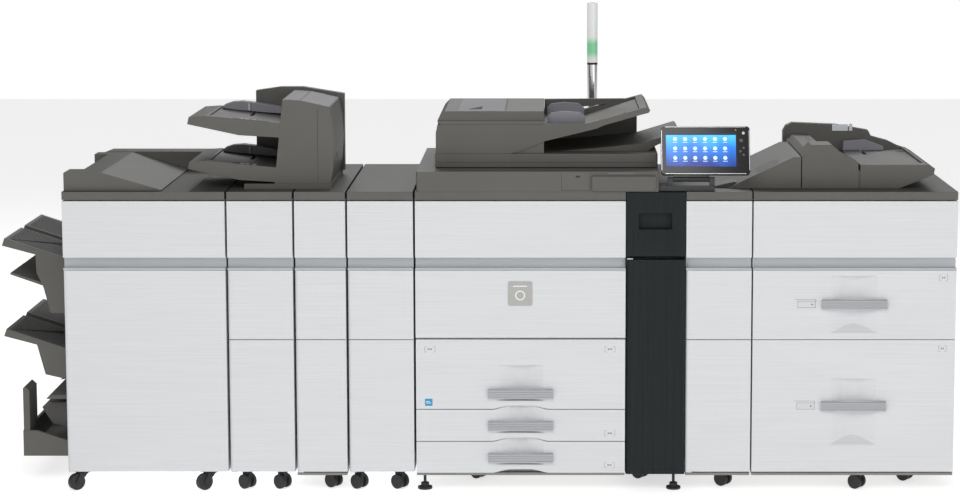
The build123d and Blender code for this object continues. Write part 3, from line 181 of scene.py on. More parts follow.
def grained_skin(name, light, dark, stretch, roughness, depth=0.04):
    """A skin whose colour and relief run in fine streaks; stretch says how fast they change on each axis."""
    material = plain_material(name, light, roughness)
    tree = material.node_tree
    shader = tree.nodes["Principled BSDF"]
    coords = tree.nodes.new("ShaderNodeTexCoord")
    streaks = tree.nodes.new("ShaderNodeGroup")
    streaks.node_tree = fine_streaks
    streaks.inputs["Stretch"].default_value = stretch
    mix = tree.nodes.new("ShaderNodeMix")
    mix.data_type = "RGBA"
    mix.inputs["A"].default_value = (*dark, 1)
    mix.inputs["B"].default_value = (*light, 1)
    bump = tree.nodes.new("ShaderNodeBump")
    bump.inputs["Strength"].default_value = depth
    bump.inputs["Distance"].default_value = 0.001
    tree.links.new(coords.outputs["Object"], streaks.inputs["Vector"])
    tree.links.new(streaks.outputs["Streak"], mix.inputs["Factor"])
    tree.links.new(mix.outputs["Result"], shader.inputs["Base Color"])
    tree.links.new(streaks.outputs["Streak"], bump.inputs["Height"])
    tree.links.new(bump.outputs["Normal"], shader.inputs["Normal"])
    return material


white_skin = grained_skin("white_skin", (0.695, 0.705, 0.72), (0.625, 0.635, 0.65), (3, 3, 420), 0.42)


def dress(node, material, bevel=0.0012, choose=None, name=None):
    """A merged copy of a CAD node with rolled edges, in one finish or in one chosen for each solid."""
    source = nodes[node]
    work = bmesh.new()
    work.from_mesh(source.data)
    bmesh.ops.remove_doubles(work, verts=work.verts, dist=0.00001)
    bmesh.ops.dissolve_limit(work, angle_limit=math.radians(1.0), verts=work.verts, edges=work.edges)
    mesh = bpy.data.meshes.new((name or node) + "_skin")
    finishes = [material]
    if choose:
        for corners, faces in solids_of(work):
            finish = choose(*corners) or material
            if finish not in finishes:
                finishes.append(finish)
            for face in faces:
                face.material_index = finishes.index(finish)
    work.to_mesh(mesh)
    work.free()
    for finish in finishes:
        mesh.materials.append(finish)
    mesh.shade_smooth()
    mesh.set_sharp_from_angle(angle=math.radians(28))
    piece = bpy.data.objects.new(mesh.name, mesh)
    bpy.context.scene.collection.objects.link(piece)
    if bevel:
        rounding = piece.modifiers.new("rolled_edges", "BEVEL")
        rounding.width = bevel
        rounding.segments = 2
        rounding.limit_method = "ANGLE"
        rounding.angle_limit = math.radians(28)
        rounding.harden_normals = True
    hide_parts(node)
    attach(piece, source["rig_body"])
    return piece


def solids_of(work):
    """The separate solids in a merged mesh: each one's low and high corner, and its faces."""
    left = set(work.faces)
    found = []
    while left:
        stack = [left.pop()]
        island = []
        while stack:
            face = stack.pop()
            island.append(face)
            for edge in face.edges:
                for other in edge.link_faces:
                    if other in left:
                        left.remove(other)
                        stack.append(other)
        points = [v.co for face in island for v in face.verts]
        low = Vector(min(p[i] for p in points) for i in range(3))
        high = Vector(max(p[i] for p in points) for i in range(3))
        found.append(((low, high), island))
    return found


for cover in ("finisher_door", "folder_door", "decurler_door", "relay_door", "side_door", "engine_cover",
              "upper_covers"):
    dress(cover, white_skin, 0.0015)


# ---- Black toner tower ----
# The tower's hatch and lower door are black mouldings with fine upright ribs; its shell is the same.
black_skin = grained_skin("black_skin", (0.015, 0.019, 0.021), (0.006, 0.008, 0.009), (420, 420, 2.0),
                          roughness=0.42, depth=0.5)
black_skin.node_tree.nodes["Principled BSDF"].inputs["Specular IOR Level"].default_value = 0.2
for cover in ("toner_hatch", "tower_door"):
    dress(cover, black_skin, 0.0015)


# ---- Dark moulded tops ----
# Worktops, scanner, feeder, trays, inserter and bypass are dark grey moulded plastic with a very
# fine spark-eroded skin. The upward faces carry painted light: a little lighter on most parts, darker on the
# worktops.
def moulded_skin(name, colour, painted_top_colour, roughness=0.5):
    material = plain_material(name, colour, roughness)
    tree = material.node_tree
    shader = tree.nodes["Principled BSDF"]
    coords = tree.nodes.new("ShaderNodeTexCoord")
    pits = tree.nodes.new("ShaderNodeTexNoise")
    pits.inputs["Scale"].default_value = 1300
    pits.inputs["Detail"].default_value = 2
    cloud = tree.nodes.new("ShaderNodeTexNoise")
    cloud.inputs["Scale"].default_value = 6
    cloud.inputs["Detail"].default_value = 3
    normal = tree.nodes.new("ShaderNodeSeparateXYZ")
    up = tree.nodes.new("ShaderNodeMapRange")
    up.inputs["From Min"].default_value = 0.15
    up.inputs["From Max"].default_value = 0.95
    geometry = tree.nodes.new("ShaderNodeNewGeometry")
    mix = tree.nodes.new("ShaderNodeMix")
    mix.data_type = "RGBA"
    mix.inputs["A"].default_value = (*colour, 1)
    mix.inputs["B"].default_value = (*painted_top_colour, 1)
    shade = tree.nodes.new("ShaderNodeMix")
    shade.data_type = "RGBA"
    shade.blend_type = "MULTIPLY"
    shade.inputs["Factor"].default_value = 0.22
    bump = tree.nodes.new("ShaderNodeBump")
    bump.inputs["Strength"].default_value = 0.18
    bump.inputs["Distance"].default_value = 0.0006
    tree.links.new(coords.outputs["Object"], pits.inputs["Vector"])
    tree.links.new(coords.outputs["Object"], cloud.inputs["Vector"])
    tree.links.new(geometry.outputs["Normal"], normal.inputs["Vector"])
    tree.links.new(normal.outputs["Z"], up.inputs["Value"])
    # Upward faces are mixed towards the top colour: painted light, lighter on most finishes and darker on the
    # worktops.
    tree.links.new(up.outputs["Result"], mix.inputs["Factor"])
    tree.links.new(mix.outputs["Result"], shade.inputs["A"])
    tree.links.new(cloud.outputs["Fac"], shade.inputs["B"])
    tree.links.new(shade.outputs["Result"], shader.inputs["Base Color"])
    tree.links.new(pits.outputs["Fac"], bump.inputs["Height"])
    tree.links.new(bump.outputs["Normal"], shader.inputs["Normal"])
    return material


dark_skin = moulded_skin("dark_moulded", (0.112, 0.108, 0.097), (0.122, 0.120, 0.114))
lavender_skin = moulded_skin("lavender_moulded", (0.19, 0.19, 0.215), (0.215, 0.215, 0.245))
pale_lavender = moulded_skin("lavender_pale", (0.27, 0.27, 0.305), (0.30, 0.30, 0.34))
deep_skin = moulded_skin("shadow_moulded", (0.035, 0.038, 0.038), (0.05, 0.052, 0.052))
# The worktop's upward faces are painted darker than its sides: painted shade.
work_skin = moulded_skin("worktop_moulded", (0.112, 0.108, 0.097), (0.068, 0.067, 0.061))
dress("worktops", work_skin, 0.0016)
for top in ("proof_tray", "upper_output_tray", "lower_output_tray", "booklet_tray",
            "sheet_inserter", "bypass_feeder", "document_tray", "feeder_body", "feeder_cover"):
    dress(top, dark_skin, 0.0016)
for guide in ("document_guide_front", "document_guide_rear", "inserter_upper_guide", "inserter_lower_guide",
              "bypass_guide"):
    dress(guide, pale_lavender, 0.0022)


def arm_painted_shade(low, high):
    """The panel's neck is painted darker than the bracket it slides in, as painted shade under the panel."""
    return deep_skin if high.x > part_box("scanner_base")[1].x else None


dress("panel_arm", dark_skin, 0.0016, arm_painted_shade)


# ---- Cabinets, grip channels and plinths ----
# The sheet-steel cabinets are powder-coated outside. The grip channel over the doors is a satin grey
# extrusion, the plinths are warm grey steel, and the inner panels are light grey moulded plastic.
grip_skin = grained_skin("grip_grey", (0.50, 0.515, 0.535), (0.455, 0.47, 0.485), (3, 3, 160), 0.38)
plinth_skin = moulded_skin("plinth_grey", (0.235, 0.23, 0.22), (0.26, 0.255, 0.25))
inner_skin = moulded_skin("inner_grey", (0.46, 0.47, 0.48), (0.5, 0.51, 0.52))
for cabinet in ("finisher_cabinet", "transport_cabinets", "supply_cabinet", "rear_covers"):
    dress(cabinet, white_skin, 0.0012)
tower_lo, tower_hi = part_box("tower_door")


def tower_black(low, high):
    """The tower's shell is black; the engine's and the side unit's are white."""
    middle = (low.x + high.x) / 2
    return black_skin if tower_lo.x < middle < tower_hi.x and high.x - low.x < 0.25 else None


dress("engine_cabinet", white_skin, 0.0012, tower_black)
dress("grip_channels", grip_skin, 0.0008)
dress("plinths", plinth_skin, 0.001)
dress("service_panels", inner_skin, 0.0006)


# ---- Paper drawers ----
# Each drawer is a white moulded front with a ribbed grey handle across its scoop, on a grey sheet box.
handle_skin = grained_skin("handle_grey", (0.43, 0.44, 0.46), (0.36, 0.37, 0.385), (3, 3, 300), 0.32, 0.1)
box_skin = moulded_skin("box_grey", (0.20, 0.205, 0.21), (0.23, 0.235, 0.24))
drawers = ("drawer_1", "drawer_2", "drawer_3", "supply_drawer_1", "supply_drawer_2")


def drawer_finish(low, high):
    """The handle is the proud narrow solid and the box is the deep one."""
    if high.x - low.x < 0.3:
        return handle_skin
    if high.y - low.y > 0.1:
        return box_skin
    return None


for drawer in drawers:
    dress(drawer, white_skin, 0.0009, drawer_finish)
button_skin = plain_material("button_white", (0.62, 0.63, 0.64), 0.35)
for button in ("supply_button_1", "supply_button_2"):
    dress(button, button_skin, 0.0008)


# ---- Scanner, lid and glass ----
# The scanner's dark base carries a green-edged glass; the lid holds a white platen pad.
pad_skin = plain_material("platen_white", (0.86, 0.86, 0.84), 0.6)
rail_steel = plain_material("rail_steel", (0.55, 0.56, 0.58), 0.25)
rail_steel.node_tree.nodes["Principled BSDF"].inputs["Metallic"].default_value = 1.0


def scanner_finish(low, high):
    return rail_steel if high.y - low.y < 0.012 and high.x - low.x > 0.3 else None


def lid_finish(low, high):
    return pad_skin if high.z - low.z < 0.008 else None


dress("scanner_base", dark_skin, 0.002, scanner_finish)
dress("document_lid", dark_skin, 0.0016, lid_finish)
dress("scan_carriage", deep_skin, 0.001)
glass = plain_material("platen_glass", (0.78, 0.86, 0.84), 0.03)
glass.node_tree.nodes["Principled BSDF"].inputs["Transmission Weight"].default_value = 0.9
glass.node_tree.nodes["Principled BSDF"].inputs["IOR"].default_value = 1.5
dress("platen_glass", glass, 0.0008)


# ---- Engine internals ----
# A green photoconductor drum on a steel shaft, a red silicone fuser roller and its grey pressure
# roller, the toner bottle and the rubber feed roller.
drum_skin = plain_material("drum_green", (0.02, 0.16, 0.10), 0.12)
fuser_skin = plain_material("fuser_red", (0.22, 0.035, 0.02), 0.3)
rubber = moulded_skin("black_rubber", (0.018, 0.018, 0.019), (0.025, 0.025, 0.026), 0.6)
bottle_skin = moulded_skin("toner_black", (0.03, 0.03, 0.032), (0.04, 0.04, 0.042), 0.35)
dress("imaging_drum", drum_skin, 0.001)
dress("fuser_heat_roller", fuser_skin, 0.001)
dress("fuser_pressure_roller", inner_skin, 0.001)
dress("toner_bottle", bottle_skin, 0.002)
dress("feed_roller", rubber, 0.0008)


# ---- Casters, feet and pivots ----
# Black nylon casters with rubber treads, black feet on threaded stems and bright zinc door pins.
zinc = plain_material("zinc", (0.62, 0.62, 0.62), 0.3)
zinc.node_tree.nodes["Principled BSDF"].inputs["Metallic"].default_value = 1.0
for caster in ("fixed_casters", "caster_left_fork", "caster_right_fork", "caster_left_wheel",
               "caster_right_wheel", "levelling_feet"):
    dress(caster, rubber, 0.0012)
dress("door_pivots", zinc, 0.0004)


# ---- Signal mast ----
# A chromed tube on a bracket behind the engine, with a milky lamp whose lower segment glows green.
chrome = plain_material("chrome", (0.78, 0.78, 0.79), 0.12)
chrome.node_tree.nodes["Principled BSDF"].inputs["Metallic"].default_value = 1.0


def mast_finish(low, high):
    return dark_skin if high.z - low.z < 0.1 else None


dress("mast_pole", chrome, 0.001, mast_finish)
lamp_low, lamp_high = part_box("mast_lamp")
lamp_skin = plain_material("milky_lamp", (0.80, 0.83, 0.81), 0.25)
tree = lamp_skin.node_tree
shader = tree.nodes["Principled BSDF"]
shader.inputs["Coat Weight"].default_value = 0.4
coords = tree.nodes.new("ShaderNodeTexCoord")
height = tree.nodes.new("ShaderNodeSeparateXYZ")
glow = tree.nodes.new("ShaderNodeMapRange")
glow.interpolation_type = "SMOOTHSTEP"
glow.inputs["From Min"].default_value = 0.045
glow.inputs["From Max"].default_value = 0.012
middle = tree.nodes.new("ShaderNodeMath")
middle.operation = "SUBTRACT"
middle.inputs[1].default_value = lamp_low.z + 0.055
distance = tree.nodes.new("ShaderNodeMath")
distance.operation = "ABSOLUTE"
tint = tree.nodes.new("ShaderNodeMix")
tint.data_type = "RGBA"
tint.inputs["A"].default_value = (0.80, 0.83, 0.81, 1)
tint.inputs["B"].default_value = (0.24, 0.66, 0.36, 1)
tree.links.new(coords.outputs["Object"], height.inputs["Vector"])
tree.links.new(height.outputs["Z"], middle.inputs[0])
tree.links.new(middle.outputs["Value"], distance.inputs[0])
tree.links.new(distance.outputs["Value"], glow.inputs["Value"])
tree.links.new(glow.outputs["Result"], tint.inputs["Factor"])
tree.links.new(tint.outputs["Result"], shader.inputs["Base Color"])
tree.links.new(tint.outputs["Result"], shader.inputs["Emission Color"])
shader.inputs["Emission Strength"].default_value = 0.18
dress("mast_lamp", lamp_skin, 0.002)


# ---- Touch panel ----
# A black glass front in a dark housing; the screen solid is seated in it, and the key is grey.
panel_black = plain_material("panel_black", (0.008, 0.008, 0.009), 0.12)


dress("panel_housing", panel_black, 0.002)
dress("power_key", button_skin, 0.0005)


# ---- Emblem, size labels and sticker ----
# The engine cover carries a square moulded emblem with a plain ring; the drawers have small printed
# size frames and a blue sticker. All are glued flat to the white fronts.
def offset(node, x, depth, z):
    """A point in millimetres from a node's left, front, lower corner."""
    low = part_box(node)[0]
    return Vector((low.x + x / 1000, low.y + depth / 1000, low.z + z / 1000))


def body_of(node):
    return nodes[node]["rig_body"]


surfaces = {}
DOWN = (0, 0, -1)
INWARD = (0, 1, 0)


def surface(node, start, way):
    """The first point and its outward normal on a node, looking from start along way."""
    if node not in surfaces:
        mesh = nodes[node].data
        place = nodes[node].matrix_world
        surfaces[node] = BVHTree.FromPolygons([place @ v.co for v in mesh.vertices],
                                              [tuple(p.vertices) for p in mesh.polygons])
    point, normal = surfaces[node].ray_cast(start, Vector(way))[:2]
    if point is None:
        raise ValueError(f"nothing of {node} lies along {tuple(way)} from {tuple(start)}")
    return point, normal


def rounded(x0, y0, x1, y1, radius, steps=4):
    """A rounded rectangle's outline in millimetres, anticlockwise."""
    points = []
    for cx, cy, turn in ((x1 - radius, y0 + radius, -90), (x1 - radius, y1 - radius, 0),
                         (x0 + radius, y1 - radius, 90), (x0 + radius, y0 + radius, 180)):
        for step in range(steps + 1):
            angle = math.radians(turn + 90 * step / steps)
            points.append((cx + radius * math.cos(angle), cy + radius * math.sin(angle)))
    return points


def disc(x, y, radius, count=24):
    """A round outline in millimetres, anticlockwise."""
    return [(x + radius * math.cos(2 * math.pi * i / count), y + radius * math.sin(2 * math.pi * i / count))
            for i in range(count)]


def box_line(x0, y0, x1, y1):
    return [(x0, y0), (x1, y0), (x1, y1), (x0, y1)]


FRONT = ((1, 0, 0), (0, 0, 1))
TOP = ((1, 0, 0), (0, 1, 0))
REAR = ((-1, 0, 0), (0, 0, 1))
RIGHT = ((0, 1, 0), (0, 0, 1))


def tile(name, origin, face, outlines, lift, material, body, sink=0.4, bevel=0.2):
    """Thin plates on a flat face: each outline lies in the face's two axes and stands proud by lift."""
    across, upward = (Vector(axis).normalized() for axis in face)
    out = across.cross(upward)
    verts = []
    faces = []
    for outline in outlines:
        start = len(verts)
        count = len(outline)
        for level in (-sink, lift):
            verts += [origin + (across * a + upward * b + out * level) / 1000 for a, b in outline]
        faces.append(tuple(reversed(range(start, start + count))))
        faces.append(tuple(range(start + count, start + 2 * count)))
        faces += [(start + i, start + (i + 1) % count, start + count + (i + 1) % count, start + count + i)
                  for i in range(count)]
    piece = mesh_object(name, verts, faces, material)
    if bevel:
        rounding = piece.modifiers.new("soft_edge", "BEVEL")
        rounding.width = bevel / 1000
        rounding.segments = 2
        rounding.limit_method = "ANGLE"
    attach(piece, body)
    return piece


def drape(name, node, outline, lift, material, body=None, start_z=None, sink=1.0):
    """A thin plate laid on a node from above: its outline is in millimetres from the node's low corner."""
    low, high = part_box(node)
    start_z = high.z + 0.02 if start_z is None else start_z
    hits = [surface(node, Vector((low.x + x / 1000, low.y + y / 1000, start_z)), DOWN) for x, y in outline]
    out = sum((normal for point, normal in hits), Vector()).normalized()
    count = len(hits)
    verts = [point - out * sink / 1000 for point, normal in hits]
    verts += [point + out * lift / 1000 for point, normal in hits]
    faces = [tuple(reversed(range(count))), tuple(range(count, 2 * count))]
    faces += [(i, (i + 1) % count, count + (i + 1) % count, count + i) for i in range(count)]
    piece = mesh_object(name, verts, faces, material)
    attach(piece, body or body_of(node))
    return piece


emblem_grey = grained_skin("emblem_grey", (0.44, 0.435, 0.42), (0.39, 0.385, 0.37), (160, 160, 160),
                           roughness=0.35, depth=0.1)
print_grey = plain_material("print_grey", (0.20, 0.20, 0.21), 0.5)
print_white = plain_material("print_white", (0.82, 0.83, 0.84), 0.4)
sticker_blue = plain_material("sticker_blue", (0.02, 0.28, 0.52), 0.35)
seam_black = plain_material("seam_black", (0.018, 0.018, 0.019), 0.7)

EMBLEM = 84
HANDLE_PROUD = 14
emblem_at = offset("engine_cover", 315, 0, 115)
cover_body = body_of("engine_cover")
tile("emblem_plate", emblem_at, FRONT, [rounded(0, 0, EMBLEM, EMBLEM, 7)], 1.6, emblem_grey, cover_body,
     bevel=0.6)
tile("emblem_ring", emblem_at, FRONT, [disc(EMBLEM / 2, 36, 17)], 2.2, print_white, cover_body)
tile("emblem_core", emblem_at, FRONT, [disc(EMBLEM / 2, 36, 13)], 2.5, emblem_grey, cover_body)
tile("emblem_bar", emblem_at, FRONT, [rounded(18, 66, EMBLEM - 18, 70, 1.5)], 2.1, print_white, cover_body)


def size_label(name, origin, width, body):
    """A printed frame of corner brackets round a short bar."""
    lines = [box_line(0, 0, 1, 20), box_line(width - 1, 0, width, 20), box_line(1, 19.2, 8, 20),
             box_line(width - 8, 19.2, width - 1, 20), box_line(1, 0, 8, 0.8),
             box_line(width - 8, 0, width - 1, 0.8),
             box_line(width * 0.3, 8, width * 0.46, 13), box_line(width * 0.54, 8, width * 0.7, 13)]
    tile(name, origin, FRONT, lines, 0.15, print_grey, body, bevel=0)


for name, node, x, z, width in (("label_1_left", "drawer_1", 30, 198, 36),
                                ("label_1_right", "drawer_1", 645, 198, 36),
                                ("label_2", "drawer_2", 645, 17, 36), ("label_3", "drawer_3", 645, 17, 34),
                                ("label_supply_1", "supply_drawer_1", 634, 203, 28),
                                ("label_supply_2", "supply_drawer_2", 634, 420, 28)):
    size_label(name, offset(node, x, HANDLE_PROUD, z), width, body_of(node))
sticker_at = offset("drawer_1", 30, HANDLE_PROUD, 11)
for name, outlines, lift, finish in (("energy_sticker", [rounded(0, 0, 26, 25, 1)], 0.25, sticker_blue),
                                     ("energy_sticker_lines",
                                      [box_line(4, 9, 22, 11), box_line(4, 14, 17, 16)], 0.4, print_white)):
    tile(name, sticker_at, FRONT, outlines, lift, finish, body_of("drawer_1"), bevel=0)

for drawer, button in (("supply_drawer_1", "supply_button_1"), ("supply_drawer_2", "supply_button_2")):
    button_low, button_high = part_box(button)
    line_at = Vector((button_low.x - 0.010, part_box("upper_covers")[0].y, button_high.z + 0.006))
    tile(button + "_line", line_at, FRONT, [box_line(0, 0, 72, 1.2), box_line(70.8, -8, 72, 0)], 0.15,
         print_grey, body_of(drawer), bevel=0)
    tile(button + "_frame", Vector((button_low.x - 0.001, line_at.y, button_low.z - 0.001)), FRONT,
         [box_line(0, 0, 62, 0.8), box_line(0, 0.8, 0.8, 24), box_line(61.2, 0.8, 62, 24),
          box_line(0.8, 23.2, 61.2, 24)], 0.15, print_grey, body_of(drawer), bevel=0)
    dot_at = Vector((button_high.x - 0.012, button_low.y, button_low.z + 0.011))
    tile(button + "_dot", dot_at, FRONT, [disc(0, 0, 2.4)], 0.3, seam_black, body_of(button), bevel=0)


split_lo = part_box("supply_drawer_2")[1].z
split_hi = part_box("supply_drawer_1")[0].z
for door in ("folder_door", "decurler_door", "relay_door", "side_door"):
    low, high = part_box(door)
    seam_at = surface(door, Vector(((low.x + high.x) / 2, -2, (split_lo + split_hi) / 2)), INWARD)[0]
    half = (high.x - low.x) * 500 - 1
    tile(door + "_gap", seam_at, FRONT, [box_line(-half, -1.1, half, 1.1)], 0.2, seam_black, body_of(door),
         bevel=0)


# ---- Repeated ribs, louvres, screws and icons ----
# Moulded ribs and pressed louvres stand in even rows. One tree lays blocks on a grid and one lays
# round heads, and each row becomes a plain mesh on its own body.
def row_tree(name, round_head):
    """A grid of blocks or discs with named inputs."""
    tree = bpy.data.node_groups.new(name, "GeometryNodeTree")
    tree.interface.new_socket("Geometry", in_out="OUTPUT", socket_type="NodeSocketGeometry")
    for label, kind in (("Columns", "NodeSocketInt"), ("Rows", "NodeSocketInt"), ("Width", "NodeSocketFloat"),
                        ("Height", "NodeSocketFloat"), ("Size", "NodeSocketVector"),
                        ("Material", "NodeSocketMaterial")):
        tree.interface.new_socket(label, in_out="INPUT", socket_type=kind)
    made = tree.nodes
    entry = made.new("NodeGroupInput")
    leave = made.new("NodeGroupOutput")
    grid = made.new("GeometryNodeMeshGrid")
    copies = made.new("GeometryNodeInstanceOnPoints")
    plain = made.new("GeometryNodeRealizeInstances")
    finish = made.new("GeometryNodeSetMaterial")
    tree.links.new(entry.outputs["Width"], grid.inputs["Size X"])
    tree.links.new(entry.outputs["Height"], grid.inputs["Size Y"])
    tree.links.new(entry.outputs["Columns"], grid.inputs["Vertices X"])
    tree.links.new(entry.outputs["Rows"], grid.inputs["Vertices Y"])
    tree.links.new(grid.outputs["Mesh"], copies.inputs["Points"])
    if round_head:
        shape = made.new("GeometryNodeMeshCylinder")
        shape.inputs["Vertices"].default_value = 16
        size = made.new("ShaderNodeSeparateXYZ")
        tree.links.new(entry.outputs["Size"], size.inputs["Vector"])
        tree.links.new(size.outputs["X"], shape.inputs["Radius"])
        tree.links.new(size.outputs["Z"], shape.inputs["Depth"])
    else:
        shape = made.new("GeometryNodeMeshCube")
        tree.links.new(entry.outputs["Size"], shape.inputs["Size"])
    tree.links.new(shape.outputs["Mesh"], copies.inputs["Instance"])
    tree.links.new(copies.outputs["Instances"], plain.inputs["Geometry"])
    tree.links.new(plain.outputs["Geometry"], finish.inputs["Geometry"])
    tree.links.new(entry.outputs["Material"], finish.inputs["Material"])
    tree.links.new(finish.outputs["Geometry"], leave.inputs["Geometry"])
    return tree


block_rows = row_tree("block_rows", False)
head_rows = row_tree("head_rows", True)


def rows(name, tree, centre, face, counts, pitch, size, material, body, bevel=0.0):
    """Lay a grid of blocks or heads on a flat face; every size is in millimetres."""
    across, upward = (Vector(axis).normalized() for axis in face)
    holder = bpy.data.objects.new(name + "_rows", bpy.data.meshes.new(name + "_rows"))
    bpy.context.scene.collection.objects.link(holder)
    modifier = holder.modifiers.new("rows", "NODES")
    modifier.node_group = tree
    values = {"Columns": counts[0], "Rows": counts[1], "Width": max(counts[0] - 1, 0) * pitch[0] / 1000,
              "Height": max(counts[1] - 1, 0) * pitch[1] / 1000, "Size": [s / 1000 for s in size],
              "Material": material}
    for item in tree.interface.items_tree:
        if item.in_out == "INPUT":
            modifier[item.identifier] = values[item.name]
    bpy.context.view_layer.update()
    settled = holder.evaluated_get(bpy.context.evaluated_depsgraph_get())
    mesh = bpy.data.meshes.new_from_object(settled)
    bpy.data.objects.remove(holder)
    place = Matrix((across, upward, across.cross(upward))).transposed().to_4x4()
    place.translation = centre
    mesh.transform(place)
    mesh.name = name
    piece = bpy.data.objects.new(name, mesh)
    bpy.context.scene.collection.objects.link(piece)
    if bevel:
        rounding = piece.modifiers.new("soft_edge", "BEVEL")
        rounding.width = bevel / 1000
        rounding.segments = 2
        rounding.limit_method = "ANGLE"
    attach(piece, body)
    return piece


# The tray ribs are real mouldings, but their near-black colour is painted shade along them.
for tray in ("upper_output_tray", "lower_output_tray"):
    low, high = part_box(tray)
    for part, depth in (("near", 130), ("far", 440)):
        spot = Vector((high.x - 0.116, low.y + depth / 1000, high.z + 0.02))
        middle, normal = surface(tray, spot, DOWN)
        fall = (normal.z, 0, -normal.x)
        rows(f"{tray}_{part}_ribs", block_rows, middle, (fall, (0, 1, 0)), (1, 13), (0, 18), (206, 2.4, 2.6),
             deep_skin, body_of(tray))

for module, columns in (("finisher", 2), ("engine", 3), ("supply", 3), ("relay", 1), ("folder", 1),
                        ("side", 1)):
    door = {"engine": "engine_cover", "supply": "supply_drawer_1"}.get(module, module + "_door")
    low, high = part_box(door)
    wide = (high.x - low.x) * 1000
    middle = (low.x + high.x) / 2
    back = surface("rear_covers", Vector((middle, 2, 0.30)), (0, -1, 0))[0]
    # The louvres are dark grey slats on the white rear covers: painted shade of the louvre openings.
    rows(module + "_louvres", block_rows, back, REAR, (columns, 16), (190, 11), (min(130, wide - 70), 4.5, 4),
         print_grey, "base", 0.8)
    rows(module + "_rear_screws", head_rows, Vector((middle, back.y, 0.53)), REAR, (2, 4), (wide - 26, 290),
         (4.5, 0, 3.4), zinc, "base", 0.5)


# ---- Touch screen and keys ----
# The panel's front is one black glass in a silver rim; behind it a backlit blue screen shows plain
# round icons. Membrane keys sit in the glass right of the screen.
housing_lo, housing_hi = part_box("panel_housing")
LEAN = math.radians(20)
glass_face = ((1, 0, 0), (0, math.sin(LEAN), math.cos(LEAN)))
PIVOT_DEPTH = 0.024
PIVOT_RISE = 0.040
CORNER = 0.014
pivot = Vector((housing_lo.x, front_y + PIVOT_DEPTH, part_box("worktops")[1].z + PIVOT_RISE))
glass_at = pivot + CORNER * Vector((0, math.sin(LEAN) - math.cos(LEAN), math.sin(LEAN) + math.cos(LEAN)))
silver = plain_material("silver_rim", (0.62, 0.63, 0.64), 0.25)
silver.node_tree.nodes["Principled BSDF"].inputs["Metallic"].default_value = 0.7
key_grey = plain_material("key_grey", (0.10, 0.10, 0.105), 0.4)
amber = plain_material("amber_light", (0.75, 0.36, 0.03), 0.4)
picture = plain_material("screen_picture", (0.02, 0.10, 0.45), 0.12)
tree = picture.node_tree
shader = tree.nodes["Principled BSDF"]
coords = tree.nodes.new("ShaderNodeTexCoord")
height = tree.nodes.new("ShaderNodeSeparateXYZ")
rise = tree.nodes.new("ShaderNodeMapRange")
rise.inputs["From Min"].default_value = glass_at.z + 0.024
rise.inputs["From Max"].default_value = glass_at.z + 0.138
waves = tree.nodes.new("ShaderNodeTexNoise")
waves.inputs["Scale"].default_value = 14
waves.inputs["Detail"].default_value = 1
ramp = tree.nodes.new("ShaderNodeValToRGB")
ramp.color_ramp.elements[0].color = (0.010, 0.025, 0.20, 1)
ramp.color_ramp.elements[1].color = (0.06, 0.45, 0.80, 1)
upper = ramp.color_ramp.elements.new(0.55)
upper.color = (0.015, 0.16, 0.58, 1)
soften = tree.nodes.new("ShaderNodeMath")
soften.operation = "MULTIPLY_ADD"
soften.inputs[1].default_value = 0.5
tree.links.new(coords.outputs["Object"], height.inputs["Vector"])
tree.links.new(coords.outputs["Object"], waves.inputs["Vector"])
tree.links.new(height.outputs["Z"], rise.inputs["Value"])
tree.links.new(waves.outputs["Fac"], soften.inputs[0])
lower = tree.nodes.new("ShaderNodeMath")
lower.operation = "SUBTRACT"
lower.inputs[1].default_value = 0.25
tree.links.new(rise.outputs["Result"], lower.inputs[0])
tree.links.new(lower.outputs["Value"], soften.inputs[2])
tree.links.new(soften.outputs["Value"], ramp.inputs["Fac"])
tree.links.new(ramp.outputs["Color"], shader.inputs["Base Color"])
tree.links.new(ramp.outputs["Color"], shader.inputs["Emission Color"])
shader.inputs["Emission Strength"].default_value = 0.75
panel_body = body_of("panel_housing")
panel_w = (housing_hi.x - housing_lo.x) * 1000
tile("panel_rim", glass_at, glass_face,
     [box_line(14, 1.2, panel_w - 14, 3.4), box_line(14, 164.6, panel_w - 14, 166.8),
      box_line(1.2, 14, 3.4, 154),
      box_line(panel_w - 3.4, 14, panel_w - 1.2, 154)], 0.35, silver, panel_body)
bar_blue = plain_material("screen_bar", (0.005, 0.012, 0.05), 0.15)
for name, outline, lift, finish in (("panel_screen", rounded(17, 27, 255, 145, 1.5), 0.75, picture),
                                    ("panel_screen_bar", box_line(17, 137, 255, 145), 0.85, bar_blue)):
    tile(name, glass_at, glass_face, [outline], lift, finish, panel_body, bevel=0)
icon_pale = plain_material("icon_pale", (0.62, 0.80, 0.92), 0.3)
icon_pale.node_tree.nodes["Principled BSDF"].inputs["Emission Color"].default_value = (0.62, 0.80, 0.92, 1)
icon_pale.node_tree.nodes["Principled BSDF"].inputs["Emission Strength"].default_value = 0.35
across, upward = (Vector(axis) for axis in glass_face)
icons_at = glass_at + (across * 133 + upward * 90) / 1000 + across.cross(upward) * 0.0006
rows("panel_icons", head_rows, icons_at, glass_face, (6, 3), (34, 33), (7, 0, 1.0), icon_pale, panel_body)
names_at = icons_at - upward * 0.0115
rows("panel_icon_names", block_rows, names_at, glass_face, (6, 3), (34, 33), (15, 2, 0.9), icon_pale,
     panel_body)
tile("panel_keys", glass_at, glass_face,
     [disc(273, 118, 6), disc(281, 92, 4), disc(270, 80, 4), disc(281, 68, 4)], 0.9, key_grey, panel_body,
     bevel=0)
tile("panel_amber", glass_at, glass_face, [[(252, 153), (258, 153), (255, 158)]], 0.9, amber, panel_body,
     bevel=0)


